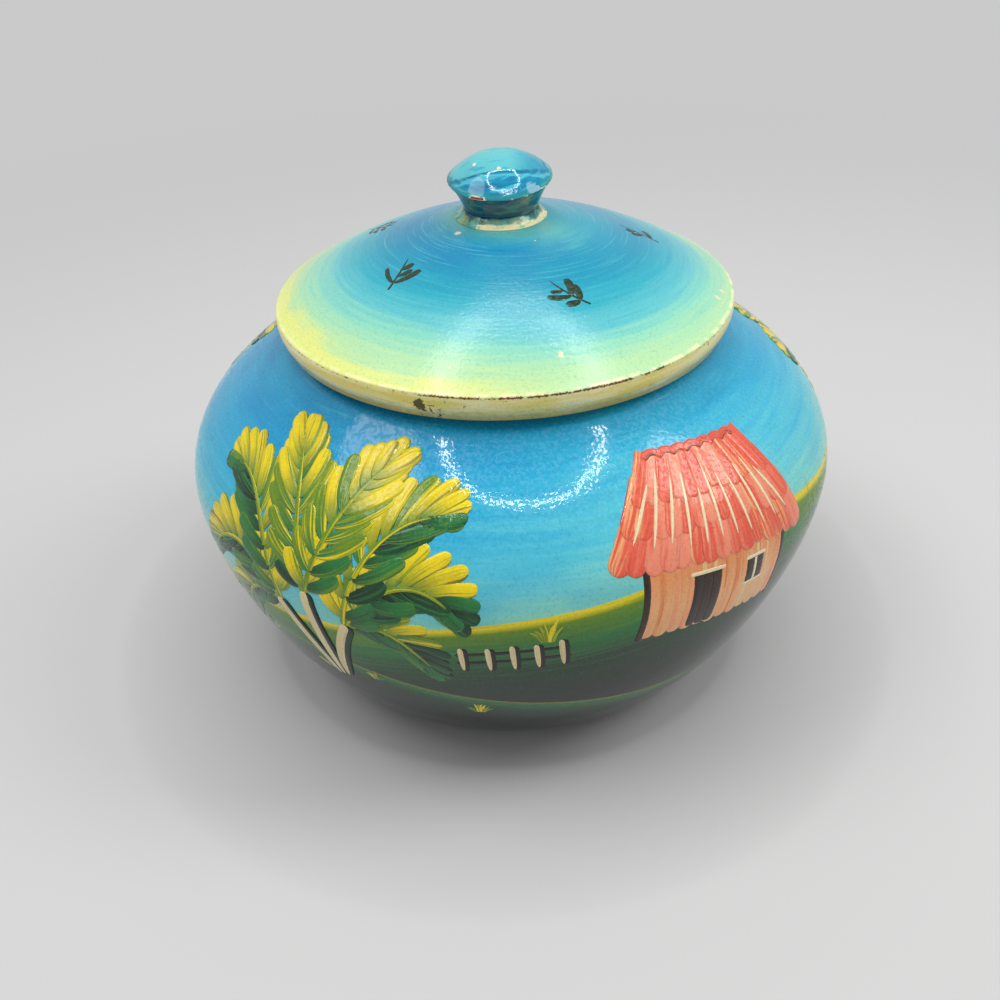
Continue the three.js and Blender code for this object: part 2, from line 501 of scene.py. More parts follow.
@dataclass(frozen=True)
class Outline:
    """Half section of a turned piece, in metres, with the air on its left as it runs.

    Attributes:
        points: Radius and height of each point.
    """

    points: np.ndarray

    @classmethod
    def of_node(cls, node: str) -> Outline:
        """Reads a node's section where its front meridian cuts it.

        Args:
            node: Name of a turned node of the frame.

        Returns:
            The section, from the axis back to it, or once round a ring.
        """
        mesh = bpy.data.objects[node].data
        micron = 1e6
        links: dict[Point, Point] = {}

        def on_front(index: int) -> Point | None:
            """Radius and height of a vertex on the front meridian, in microns."""
            place = mesh.vertices[index].co
            if abs(place.x) > 1e-6 or place.y > 1e-6:
                return None
            return round(-place.y * micron), round(place.z * micron)

        for face in mesh.polygons:
            corners = list(face.vertices)
            for turn in range(3):
                apex, first, second = corners[turn:] + corners[:turn]
                ends = on_front(first), on_front(second)
                if None not in ends and mesh.vertices[apex].co.x > 1e-6:
                    links[ends[0]] = ends[1]
        loose = set(links) - set(links.values())
        chain = [min(loose or links)]
        while chain[-1] in links and len(chain) <= len(links):
            chain.append(links[chain[-1]])
        return cls(np.array(chain, float) / micron)

    @staticmethod
    def _curved(points: np.ndarray, step: float) -> np.ndarray:
        """Runs a centripetal spline through points.

        Args:
            points: Points that it passes.
            step: Greatest length between new points.

        Returns:
            The finer points.
        """
        ends = 2 * points[0] - points[1], 2 * points[-1] - points[-2]
        held = np.vstack([ends[0], points, ends[1]])
        gaps = np.sqrt(np.linalg.norm(np.diff(held, axis=0), axis=1))
        fine = [points[0]]
        for i in range(1, len(held) - 2):
            before, here, after, beyond = held[i - 1 : i + 3]
            first, middle, last = gaps[i - 1 : i + 2]
            chord = (after - here) / middle
            leave = (here - before) / first - (after - before) / (first + middle) + chord
            arrive = chord - (beyond - here) / (middle + last) + (beyond - after) / last
            count = max(2, math.ceil(middle**2 / step))
            for share in np.arange(1, count + 1) / count:
                rest = 1 - share
                fine.append(
                    here * rest * rest * (1 + 2 * share)
                    + after * share * share * (1 + 2 * rest)
                    + (leave * rest - arrive * share) * middle * share * rest
                )
        return np.array(fine)

    def _corners(self, crease: float, blunt: float) -> list[int]:
        """Finds the real corners.

        Args:
            crease: Least turn of a corner between long lines, in degrees.
            blunt: Length from which such a line is long.

        Returns:
            Their indexes, with both ends.
        """
        steps = np.diff(self.points, axis=0)
        lengths = np.linalg.norm(steps, axis=1)
        headings = np.degrees(np.arctan2(steps[:, 1], steps[:, 0]))
        turns = np.abs((np.diff(headings) + 180) % 360 - 180)
        found = [0]
        for i, turn in enumerate(turns):
            if turn > 60 or (turn > crease and min(lengths[i : i + 2]) > blunt):
                found.append(i + 1)
        return [*found, len(self.points) - 1]

    def smoothed(
        self, step: float, edge: float, crease: float = 28.0, blunt: float = 1.0 * MM
    ) -> Outline:
        """Makes the section fine, with its corners a little worn.

        Args:
            step: Greatest length between new points.
            edge: How far from a corner its rounding starts.
            crease: Least turn of a corner between long lines, in degrees.
            blunt: Length from which such a line is long.

        Returns:
            The finer section.
        """
        marks = self._corners(crease, blunt)
        runs = [self._curved(self.points[a : b + 1], step) for a, b in zip(marks, marks[1:])]
        fine = runs[0]
        for run in runs[1:]:
            corner = run[0]
            before = fine[np.linalg.norm(fine - corner, axis=1) > edge]
            after = run[np.linalg.norm(run - corner, axis=1) > edge]
            enter = corner + (before[-1] - corner) * edge / np.linalg.norm(before[-1] - corner)
            leave = corner + (after[0] - corner) * edge / np.linalg.norm(after[0] - corner)
            middle = corner / 2 + enter / 4 + leave / 4
            fine = np.vstack([before, enter, middle, leave, after])
        return Outline(np.clip(fine, self.points.min(0), self.points.max(0)))

    def along(self) -> np.ndarray:
        """Length from the start to each point."""
        steps = np.linalg.norm(np.diff(self.points, axis=0), axis=1)
        return np.concatenate([[0.0], np.cumsum(steps)])

    def nearest(self, radius: float, height: float) -> int:
        """Index of the point nearest to a radius and height."""
        return int(np.linalg.norm(self.points - (radius, height), axis=1).argmin())

    def widest(self) -> int:
        """Index of the point farthest from the axis."""
        return int(self.points[:, 0].argmax())

    def part(self, first: int, last: int) -> Outline:
        """The stretch from one index to another, which may run backwards."""
        if first <= last:
            return Outline(self.points[first : last + 1])
        return Outline(self.points[last : first + 1][::-1])

    def length_at(self, height: float) -> float:
        """Length from the start to a height, on a stretch that only rises."""
        return float(np.interp(height, self.points[:, 1], self.along()))


def turned_tree() -> Tree:
    """Builds the geometry tree that sweeps a section round the upright axis.

    Returns:
        The tree, with its sizes as named inputs.
    """
    tree = Tree.of_geometry("turned piece")
    section = tree.add_input("Section", "NodeSocketObject")
    points = tree.add_input("Points", "NodeSocketInt")
    facets = tree.add_input("Facets", "NodeSocketInt")
    stray = tree.add_input("Stray", "NodeSocketFloat")
    lean = tree.add_input("Lean", "NodeSocketVector")
    hinge = tree.add_input("Hinge", "NodeSocketFloat")
    material = tree.add_input("Material", "NodeSocketMaterial")
    outline = tree.node("GeometryNodeObjectInfo", inputs={0: section}, output="Geometry")
    sockets = {"Vertices X": facets + 1, "Vertices Y": points}
    grid = tree.node("GeometryNodeMeshGrid", inputs=sockets)
    index = tree.node("GeometryNodeInputIndex")
    row = index % points
    column = tree.maths("FLOOR", index / points)
    place = tree.sampled(
        "FLOAT_VECTOR", outline, tree.node("GeometryNodeInputPosition"), row
    )
    radius, _, height = place.parts()
    angle = column * (math.tau / facets) + math.radians(FRONT)
    hold = tree.maths("MINIMUM", radius / (8 * MM), 1.0)
    loose = tree.sampled("FLOAT", outline, tree.named("FLOAT", "loose"), row)
    reach = radius + strayed(angle, height, stray) * hold * loose
    ring = tree.vector(reach * tree.maths("COSINE", angle), reach * sine(angle), height)
    lifted = tree.sampled("FLOAT", outline, tree.named("FLOAT", "lifted"), row)
    sockets = {"Vector": ring, "Center": tree.vector(0, 0, hinge), "Rotation": lean * lifted}
    leaning = tree.node("ShaderNodeVectorRotate", {"rotation_type": "EULER_XYZ"}, sockets)
    spot = {"Geometry": grid, "Position": leaning}
    body = tree.node("GeometryNodeSetPosition", inputs=spot)
    for name in ("along", "cover"):
        body = tree.stored(
            body, "FLOAT", name, tree.sampled("FLOAT", outline, tree.named("FLOAT", name), row)
        )
    sockets = {"Geometry": body, "Distance": 1e-6}
    merged = tree.node("GeometryNodeMergeByDistance", inputs=sockets)
    tree.close(tree.node("GeometryNodeFlipFaces", inputs={0: merged}), material)
    return tree


def stroke_tree() -> Tree:
    """Builds the geometry tree that lays brush strokes on a turned wall as closed skins of paint.

    Returns:
        The tree, with its sizes as named inputs.
    """
    tree = Tree.of_geometry("brush strokes")
    paths = tree.add_input("Paths", "NodeSocketObject")
    count = tree.add_input("Path Points", "NodeSocketInt")
    wall = tree.add_input("Wall", "NodeSocketObject")
    stray = tree.add_input("Stray", "NodeSocketFloat")
    thickness = tree.add_input("Thickness", "NodeSocketFloat")
    sunk = tree.add_input("Sunk", "NodeSocketFloat")
    material = tree.add_input("Material", "NodeSocketMaterial")
    sides = 7
    line = tree.node("GeometryNodeObjectInfo", inputs={0: paths}, output="Geometry")
    profile = tree.node("GeometryNodeObjectInfo", inputs={0: wall}, output="Geometry")
    grid = tree.node(
        "GeometryNodeMeshGrid", inputs={"Vertices X": count, "Vertices Y": sides + 1}
    )
    index = tree.node("GeometryNodeInputIndex")
    row = index % (sides + 1)
    step = tree.maths("FLOOR", index / (sides + 1))
    flat = tree.sampled("FLOAT_VECTOR", line, tree.node("GeometryNodeInputPosition"), step)
    across = tree.sampled("FLOAT_VECTOR", line, tree.named("FLOAT_VECTOR", "across"), step)
    centre = tree.sampled("FLOAT", line, tree.named("FLOAT", "centre"), step)
    body = tree.sampled("FLOAT", line, tree.named("FLOAT", "body"), step)
    share = sine((row % sides - 3) * (math.pi / 6))
    on_top = tree.maths("LESS_THAN", tree.maths("ABSOLUTE", share), 0.95) * body
    sideways, length, lift = (flat + across * share).parts()
    sockets = {"Curves": profile, "Length": length}
    found = tree.node(
        "GeometryNodeSampleCurve", {"mode": "LENGTH"}, sockets, output="Position"
    )
    radius, _, height = found.parts()
    slope_out, _, slope_up = found.twin("Tangent").parts()
    angle = centre + sideways / radius
    above = on_top * (lift + sunk + thickness * (1 - share * share)) - sunk
    reach = radius + strayed(angle, height, stray) + slope_up * above
    level = height - slope_out * above
    spot = tree.vector(reach * tree.maths("COSINE", angle), reach * sine(angle), level)
    skin = tree.node("GeometryNodeSetPosition", inputs={"Geometry": grid, "Position": spot})
    travel = tree.sampled("FLOAT", line, tree.named("FLOAT", "travel"), step)
    number = tree.sampled("FLOAT", line, tree.named("FLOAT", "number"), step)
    skin = tree.stored(skin, "FLOAT_VECTOR", "brush", tree.vector(travel, share, number))
    for name in ("load_body", "load_streak"):
        load = tree.sampled("FLOAT_COLOR", line, tree.named("FLOAT_COLOR", name), step)
        skin = tree.stored(skin, "FLOAT_COLOR", name, load)
    ending = tree.sampled("BOOLEAN", line, tree.named("BOOLEAN", "ending"), step)
    skin = tree.stored(skin, "BOOLEAN", "ending", ending)
    sockets = {"Geometry": skin, "Selection": tree.named("BOOLEAN", "ending")}
    apart = tree.node("GeometryNodeDeleteGeometry", {"domain": "FACE"}, sockets)
    sockets = {"Geometry": apart, "Distance": 1e-6}
    merged = tree.node("GeometryNodeMergeByDistance", inputs=sockets)
    tree.close(tree.node("GeometryNodeFlipFaces", inputs={0: merged}), material)
    return tree


@dataclass(frozen=True)
class Ridge:
    """Edge of a hill round the pot: a height with a few waves in it.

    Attributes:
        height: Mean height of the edge, in mm.
        waves: Rise in mm, number round the pot and turn in degrees of each wave.
    """

    height: float
    waves: tuple[tuple[float, int, float], ...]

    def at(self, angle: Value | float) -> Value | float:
        """Height of the edge at an angle in radians, as a number or in nodes."""
        total: Value | float = self.height
        for rise, number, turn in self.waves:
            total = total + rise * sine(angle * number + math.radians(turn))
        return total


FAR_RIDGE = Ridge(39.0, ((4.0, 1, 130.0), (3.0, 2, 190.0), (0.4, 7, 70.0)))
NEAR_RIDGE = Ridge(20.0, ((7.0, 1, 240.0), (2.0, 3, 115.0), (0.3, 8, 10.0)))


class Place:
    """Where a point of a turned piece lies, in mm, for its material."""

    def __init__(self, tree: Tree) -> None:
        """Adds the nodes that read the place.

        Args:
            tree: Tree of the material.
        """
        self.tree = tree
        self.spot = tree.node("ShaderNodeTexCoord", output="Object") * (1 / MM)
        self.x, self.y, self.z = self.spot.parts()
        self.radius = tree.maths("SQRT", self.x * self.x + self.y * self.y)
        self.angle = tree.maths("ARCTAN2", self.y, self.x)
        outward = tree.maths("MAXIMUM", self.radius, 0.5)
        self.turn_x = self.x / outward
        self.turn_y = self.y / outward

    def attribute(self, name: str) -> Value:
        """Reads a number that the piece's mesh carries."""
        return self.tree.node(
            "ShaderNodeAttribute", {"attribute_name": name}, output="Fac"
        )

    def streaks(self, across: Any, length: float, fineness: float, shift: float) -> Value:
        """Bristle streaks that run round the piece.

        Args:
            across: Distance in mm across the streaks.
            length: How often they break in a turn.
            fineness: How many there are to a mm.
            shift: Shift that makes a set of its own.

        Returns:
            Noise from 0 to 1.
        """
        spot = self.tree.vector(
            self.turn_x * length, self.turn_y * length, across * fineness + shift
        )
        return self.tree.noise(spot, 1.0, 3.0, 0.6)

    def specks(self, spacing: float, size: float, shift: float) -> Value:
        """Scattered specks.

        Args:
            spacing: Distance between them, in mm.
            size: Their radius, in mm.
            shift: Shift that makes a set of its own.

        Returns:
            1 in a speck and 0 elsewhere.
        """
        sockets = {"Vector": self.spot + (shift, shift, shift), "Scale": 1 / spacing}
        cell = self.tree.node("ShaderNodeTexVoronoi", inputs=sockets)
        picked = self.tree.noise(cell.twin("Position"), 3.1, 0.0)
        radius = (picked - 0.42) * (6 * size / spacing)
        return self.tree.smooth(radius - cell, 0.0, 0.3 * size / spacing)

    def flecks(self, spots: tuple[Point, ...], size: float) -> Value:
        """Flecks at given spots, seen from above.

        Args:
            spots: Their places across, in mm.
            size: Their radius, in mm.

        Returns:
            1 in a fleck and 0 elsewhere.
        """
        tree = self.tree
        ragged = (tree.noise(self.spot, 2.2, 2.0) - 0.5) * size * 1.5
        total: Any = 0.0
        for x, y in spots:
            across, back = self.x - x, self.y - y
            far = tree.maths("SQRT", across * across + back * back) + ragged
            total = total + tree.smooth(far, size, size * 0.6)
        return total

    def mottled(self, colour: Value, depth: float = 1.0) -> Value:
        """Breaks a colour up with the fine grain of brushed paint.

        Args:
            colour: Colour of the paint.
            depth: How strong the grain is.

        Returns:
            The colour with lighter and darker grains in it.
        """
        tree = self.tree
        grain = tree.noise(self.spot, 2.4, 3.0, 0.75)
        colour = tree.blend(
            colour, (0.62, 0.68, 0.72), tree.smooth(grain, 0.5, 0.28) * depth, "MULTIPLY"
        )
        lighter = tree.smooth(grain, 0.55, 0.8) * (0.12 * depth)
        return tree.blend(colour, (0.55, 0.80, 0.90), lighter)


@dataclass(frozen=True)
class Lacquer:
    """Clear gloss coat over the paint.

    Attributes:
        roughness: Roughness of the coat where it is clean.
        haze: What worn and dusty places add to it.
        peel: Size of the grain that breaks up its gloss, in mm.
        peel_depth: Depth of that grain, in mm.
        grain: Share of dull grains in it, from 0 to 1.
        brush_depth: Depth of the bristle marks under it, in mm.
        sag: Depth of its slow waves, in mm.
    """

    roughness: float = 0.05
    haze: float = 0.05
    peel: float = 0.6
    peel_depth: float = 0.016
    grain: float = 0.42
    brush_depth: float = 0.004
    sag: float = 0.07

    def finish(
        self, place: Place, colour: Value, marks: Value, bare: Any = None
    ) -> None:
        """Ends a material with the coat over a colour.

        Args:
            place: Place in the piece.
            colour: Colour of the paint.
            marks: Height of the bristle marks, from 0 to 1.
            bare: Share of the surface with no coat on it, or nothing.
        """
        tree = place.tree
        peel = tree.noise(place.spot, 1 / self.peel, 1.0, 0.5)
        waves = tree.noise(place.spot, 0.16, 1.0)
        height = peel * self.peel_depth + marks * self.brush_depth + waves * self.sag
        clouds = tree.noise(place.spot, 0.35, 3.0, 0.6)
        rough = self.roughness + self.haze * tree.smooth(clouds, 0.5, 0.85)
        least = 0.62 - 0.24 * self.grain
        dull = tree.smooth(tree.noise(place.spot, 1.7, 2.0, 0.7), least, least + 0.02)
        rough = rough + dull * tree.smooth(place.z, 30.0, 46.0) * 0.4 * (self.grain > 0)
        if bare is not None:
            grit = tree.noise(place.spot, 2.2, 4.0, 0.65)
            height = height * (1 - bare) + grit * bare * 0.05
            rough = rough * (1 - bare) + bare * 0.78
        sockets = {"Height": height, "Distance": MM, "Strength": 1.0}
        normal = tree.node("ShaderNodeBump", inputs=sockets)
        sockets = {"Base Color": colour, "Roughness": rough, "Normal": normal, "IOR": 1.46}
        shader = tree.node("ShaderNodeBsdfPrincipled", inputs=sockets)
        tree.node("ShaderNodeOutputMaterial", inputs={"Surface": shader})


@dataclass(frozen=True)
class BareClay:
    """Fired clay that no paint covers."""

    dark: Colour = Paints.CLAY
    light: Colour = Paints.PALE_CLAY

    def colour(self, place: Place) -> Value:
        """Colour of the clay at a place, with smoke and grog in it."""
        tree = place.tree
        clouds = tree.noise(place.spot, 0.09, 4.0, 0.6)
        body = tree.blend(self.dark, self.light, tree.smooth(clouds, 0.3, 0.7))
        rings = place.streaks(place.radius + place.z * 1.6, 0.8, 0.9, 4.0)
        body = tree.blend(body, Paints.RUST, tree.smooth(rings, 0.52, 0.8) * 0.4)
        return tree.blend(body, Paints.BARK, place.specks(2.6, 0.16, 3.0) * 0.7)


@dataclass(frozen=True)
class PotPaint:
    """Sky over two rows of hills, brushed round the pot, with bare clay inside and below."""

    lacquer: Lacquer = Lacquer()
    clay: BareClay = BareClay()

    def sky(self, place: Place) -> Value:
        """Colour of the sky, dark at the rim and pale over the hills."""
        tree = place.tree
        streak = place.streaks(place.z, 2.2, 0.9, 0.0)
        broad = place.streaks(place.z, 1.3, 0.22, 7.0)
        over = place.z - FAR_RIDGE.at(place.angle) * 0.8
        level = over + (streak - 0.5) * 10 + (broad - 0.5) * 10
        stops = [
            (7.0, Paints.HAZE),
            (12.0, Paints.PALE_SKY),
            (17.0, Paints.LOW_SKY),
            (22.0, Paints.MIDDLE_SKY),
            (28.0, Paints.BRIGHT_SKY),
            (36.0, Paints.HIGH_SKY),
        ]
        sky = tree.ramp(level, 4.0, 38.0, stops)
        cloud = tree.smooth(tree.noise(place.spot * (0.05, 0.05, 0.09), 1.0, 2.0), 0.5, 0.75)
        sky = tree.blend(sky, Paints.MIDDLE_SKY, cloud * 0.5)
        hairs = place.streaks(place.z, 2.6, 2.6, 43.0)
        return tree.blend(sky, Paints.LOW_SKY, tree.smooth(hairs, 0.56, 0.72) * 0.35)

    def hills(self, place: Place, under: Value) -> Value:
        """Lays both rows of hills over the sky.

        Args:
            place: Place in the pot.
            under: Colour of the sky.

        Returns:
            The colour with the hills on it.
        """
        tree = place.tree
        depth = FAR_RIDGE.at(place.angle) - place.z
        streak = place.streaks(depth, 2.0, 0.8, 12.0)
        comb = depth + (streak - 0.5) * 5.0 * tree.smooth(depth, 0.5, 5.0)
        far = [
            (0.0, Paints.LEMON),
            (0.5, Paints.LEMON),
            (1.5, Paints.GRASS),
            (5.0, Paints.LEAF),
            (10.0, Paints.BOTTLE),
            (20.0, Paints.PINE),
        ]
        ground = tree.ramp(comb, -1.0, 26.0, far)
        hairs = tree.smooth(place.streaks(depth, 2.4, 2.4, 61.0), 0.52, 0.66)
        ground = tree.blend(ground, Paints.GRASS, hairs * tree.smooth(depth, 16.0, 3.0) * 0.4)
        edge = tree.smooth(depth + (streak - 0.5) * 0.7, -0.15, 0.15)
        colour = tree.blend(under, ground, edge)
        # Both rows of ground darken to near black towards the foot of the pot: dark green paint, with
        # painted shade under the belly in it.
        drop = NEAR_RIDGE.at(place.angle) - place.z
        grain = place.streaks(drop, 1.8, 0.9, 21.0)
        near = [
            (0.0, Paints.OLIVE_GOLD),
            (0.35, Paints.OLIVE_GOLD),
            (0.9, Paints.LEAF),
            (3.0, Paints.BOTTLE),
            (7.0, Paints.PINE),
        ]
        front = tree.ramp(drop + (grain - 0.5) * 1.6, -1.0, 10.0, near)
        return tree.blend(colour, front, tree.smooth(drop, -0.1, 0.1))

    def make(self) -> bpy.types.Material:
        """Builds the material."""
        material, tree = Tree.of_material("painted pot")
        place = Place(tree)
        colour = self.hills(place, self.sky(place))
        marks = place.streaks(place.z, 2.5, 2.4, 31.0)
        tone = tree.smooth(marks, 0.25, 0.75)
        colour = tree.blend(colour, (0.72, 0.84, 0.90), (1 - tone) * 0.6, "MULTIPLY")
        colour = place.mottled(colour, 0.7)
        colour = tree.blend(colour, Paints.IVORY, place.specks(5.2, 0.07, 1.0) * 0.7)
        colour = tree.blend(colour, Paints.INK, place.specks(5.0, 0.12, 5.0) * 0.7)
        ragged = place.attribute("cover") + (tree.noise(place.spot, 0.5, 3.0) - 0.5) * 2.4
        bare = 1 - tree.smooth(ragged, -0.1, 0.15)
        colour = tree.blend(colour, self.clay.colour(place), bare)
        self.lacquer.finish(place, colour, marks, bare)
        return material


@dataclass(frozen=True)
class LidPaint:
    """Blue that fades to lime at the edge, brushed in rings, over a khaki band.

    Attributes:
        arris: Height of the edge between the top and the band, in mm.
        arris_run: Length from the middle of the top to that edge, in mm.
        band_radius: Radius of the band, in mm.
        worn_towards: Angle where its edge is worn most, in degrees.
        chip_angle: Angle of the chip on its band, in degrees.
        yellow_angle: Angle where its top is most yellow, in degrees.
        shift: How far the rings sit off the axis, in mm.
        flecks: Places of the flecks on its top, in mm.
    """

    arris: float
    arris_run: float
    band_radius: float = 37.0
    worn_towards: float = -82.0
    chip_angle: float = -109.5
    yellow_angle: float = -145.0
    shift: tuple[float, float, float] = (1.4, 1.2, 0.0)
    flecks: tuple[Point, ...] = ((-6.8, -6.2), (34.3, -7.8), (7.6, -30.8), (33.2, -10.6))
    lacquer: Lacquer = Lacquer(roughness=0.2, peel_depth=0.03, grain=0.0, brush_depth=0.016)
    clay: BareClay = BareClay()

    def top(self, place: Place) -> Value:
        """Colour of the top."""
        tree = place.tree
        offset_x, offset_y, _ = (place.spot - self.shift).parts()
        run = tree.maths("SQRT", offset_x * offset_x + offset_y * offset_y)
        fine = place.streaks(run, 1.6, 1.5, 2.0)
        broad = place.streaks(run, 0.8, 0.35, 9.0)
        yellow = tree.maths("COSINE", place.angle - math.radians(self.yellow_angle))
        behind = tree.smooth(place.turn_y, 0.1, 0.9)
        level = run + (fine - 0.5) * 5.0 + (broad - 0.5) * 6.0 + yellow * 0.6 + behind * 4.5 - 0.4
        stops = [
            (7.0, Paints.PALE_BLUE),
            (15.0, Paints.SKY_BLUE),
            (20.0, Paints.SKY_BLUE),
            (24.5, Paints.PALE_BLUE),
            (28.0, Paints.TURQUOISE),
            (31.5, Paints.MINT),
            (35.0, Paints.LIME),
        ]
        colour = tree.ramp(level, 0.0, 40.0, stops)
        pooled = tree.noise(place.spot, 0.06, 2.0)
        lemon = tree.smooth(level + (pooled - 0.5) * 8.0, 35.0, 37.8) * tree.smooth(yellow, 0.2, 0.9)
        colour = tree.blend(colour, Paints.LEMON_LIME, lemon)
        near = tree.smooth(run + (fine - 0.5) * 6.0, 17.0, 8.0)
        front = tree.smooth(place.turn_y + place.turn_x * 0.5, 0.5, -0.3)
        colour = tree.blend(colour, Paints.SEA_GREEN, near * front * 0.65)
        deep = tree.smooth(tree.noise(place.spot * (0.06, 0.06, 0.06), 1.0, 2.0), 0.42, 0.62)
        ring = tree.smooth(tree.maths("ABSOLUTE", run - 15.0), 7.0, 1.0)
        colour = tree.blend(colour, Paints.DEEP_BLUE, deep * ring * 0.85)
        hairs = tree.smooth(place.streaks(run, 1.2, 2.6, 51.0), 0.54, 0.7)
        return tree.blend(colour, Paints.TURQUOISE, hairs * tree.smooth(run, 31.0, 22.0) * 0.45)

    def wear(self, place: Place, along: Value) -> Value:
        """Where the edge of the top is worn down to the clay, mostly in front.

        Args:
            place: Place in the lid.
            along: Length from the middle of the top, in mm.

        Returns:
            Share of the paint that is gone.
        """
        tree = place.tree
        facing = tree.maths("COSINE", place.angle - math.radians(self.worn_towards))
        ragged = tree.noise(place.spot, 3.2, 3.0, 0.7)
        off = tree.maths("ABSOLUTE", along - self.arris_run - 0.15)
        line = tree.smooth(off + (ragged - 0.5) * 0.9, 0.2, 0.08)
        dashes = tree.noise(place.spot, 0.42, 3.0, 0.65)
        least = 0.66 - tree.smooth(facing, 0.76, 0.95) * 0.24
        return line * tree.smooth(dashes - least, 0.0, 0.05)

    def chip(self, place: Place) -> Value:
        """A chip on the band with a few crumbs beside it."""
        tree = place.tree
        turn = math.radians(self.chip_angle)
        middle = (self.band_radius * math.cos(turn), self.band_radius * math.sin(turn))
        gap = (place.spot - (*middle, self.arris - 1.7)) * (1.2, 1.0, 1.0)
        far = tree.node("ShaderNodeVectorMath", {"operation": "LENGTH"}, {0: gap}, "Value")
        ragged = (tree.noise(place.spot, 1.3, 3.0, 0.7) - 0.5) * 2.8
        beside = place.spot - (middle[0] + 1.6, middle[1], self.arris - 2.9)
        near = tree.node("ShaderNodeVectorMath", {"operation": "LENGTH"}, {0: beside}, "Value")
        crumbs = tree.smooth(tree.noise(place.spot, 1.9, 1.0), 0.56, 0.6)
        crumbs = crumbs * tree.smooth(near, 2.1, 1.5)
        return tree.maths("MAXIMUM", tree.smooth(far + ragged, 1.0, 0.8), crumbs)

    def make(self) -> bpy.types.Material:
        """Builds the material."""
        material, tree = Tree.of_material("painted lid")
        place = Place(tree)
        along = place.attribute("along")
        marks = place.streaks(place.radius, 2.0, 2.6, 15.0)
        band_tone = place.streaks(place.z, 3.0, 0.9, 27.0)
        band = tree.blend(Paints.STRAW, Paints.VANILLA, tree.smooth(band_tone, 0.35, 0.7))
        patches = tree.noise(place.spot, 0.07, 2.0)
        band = tree.blend(band, Paints.LIME, tree.smooth(patches, 0.5, 0.75) * 0.25)
        lumps = (tree.noise(place.spot, 0.9, 3.0, 0.65) - 0.5) * 2.4
        low = tree.smooth(along + lumps, self.arris_run + 2.0, self.arris_run + 4.4)
        band = tree.blend(band, Paints.OCHRE, low * 0.65)
        pits = tree.smooth(tree.noise(place.spot, 1.4, 2.0, 0.6), 0.70, 0.74)
        band = tree.blend(band, Paints.BARK, pits * 0.8)
        below = tree.smooth(along, self.arris_run, self.arris_run + 0.5)
        colour = tree.blend(self.top(place), band, below)
        colour = place.mottled(colour, 0.55)
        # Pale line just inside the edge of the top: a painted highlight along the edge, broken where
        # the paint is scuffed, stronger towards the right.
        inside = tree.maths("ABSOLUTE", along - self.arris_run + 0.25)
        scuffed_highlight_breaks = tree.smooth(tree.noise(place.spot, 0.5, 3.0, 0.6), 0.40, 0.6)
        highlight_and_rub_strength = tree.smooth(place.turn_x, -0.3, 0.6) * 0.25 + 0.65
        edge = tree.smooth(inside, 0.5, 0.15) * scuffed_highlight_breaks * highlight_and_rub_strength
        colour = tree.blend(colour, Paints.VANILLA, edge)
        dirt = tree.smooth(tree.noise(place.spot, 1.6, 3.0, 0.7), 0.52, 0.6)
        lines = tree.smooth(tree.maths("ABSOLUTE", along - self.arris_run - 0.2), 0.16, 0.06)
        colour = tree.blend(colour, Paints.BARK, lines * dirt * 0.7)
        colour = tree.blend(colour, Paints.RUST, self.wear(place, along))
        colour = tree.blend(colour, Paints.INK, self.chip(place) * 0.9)
        colour = tree.blend(colour, Paints.IVORY, place.specks(3.4, 0.10, 2.0) * 0.7)
        colour = tree.blend(colour, Paints.IVORY, place.flecks(self.flecks, 0.55) * 0.85)
        colour = tree.blend(colour, Paints.INK, place.specks(6.0, 0.11, 9.0) * 0.7)
        ragged = place.attribute("cover") + (tree.noise(place.spot, 0.5, 3.0) - 0.5) * 1.6
        bare = 1 - tree.smooth(ragged, -0.1, 0.15)
        colour = tree.blend(colour, self.clay.colour(place), bare)
        self.lacquer.finish(place, colour, marks, bare)
        return material


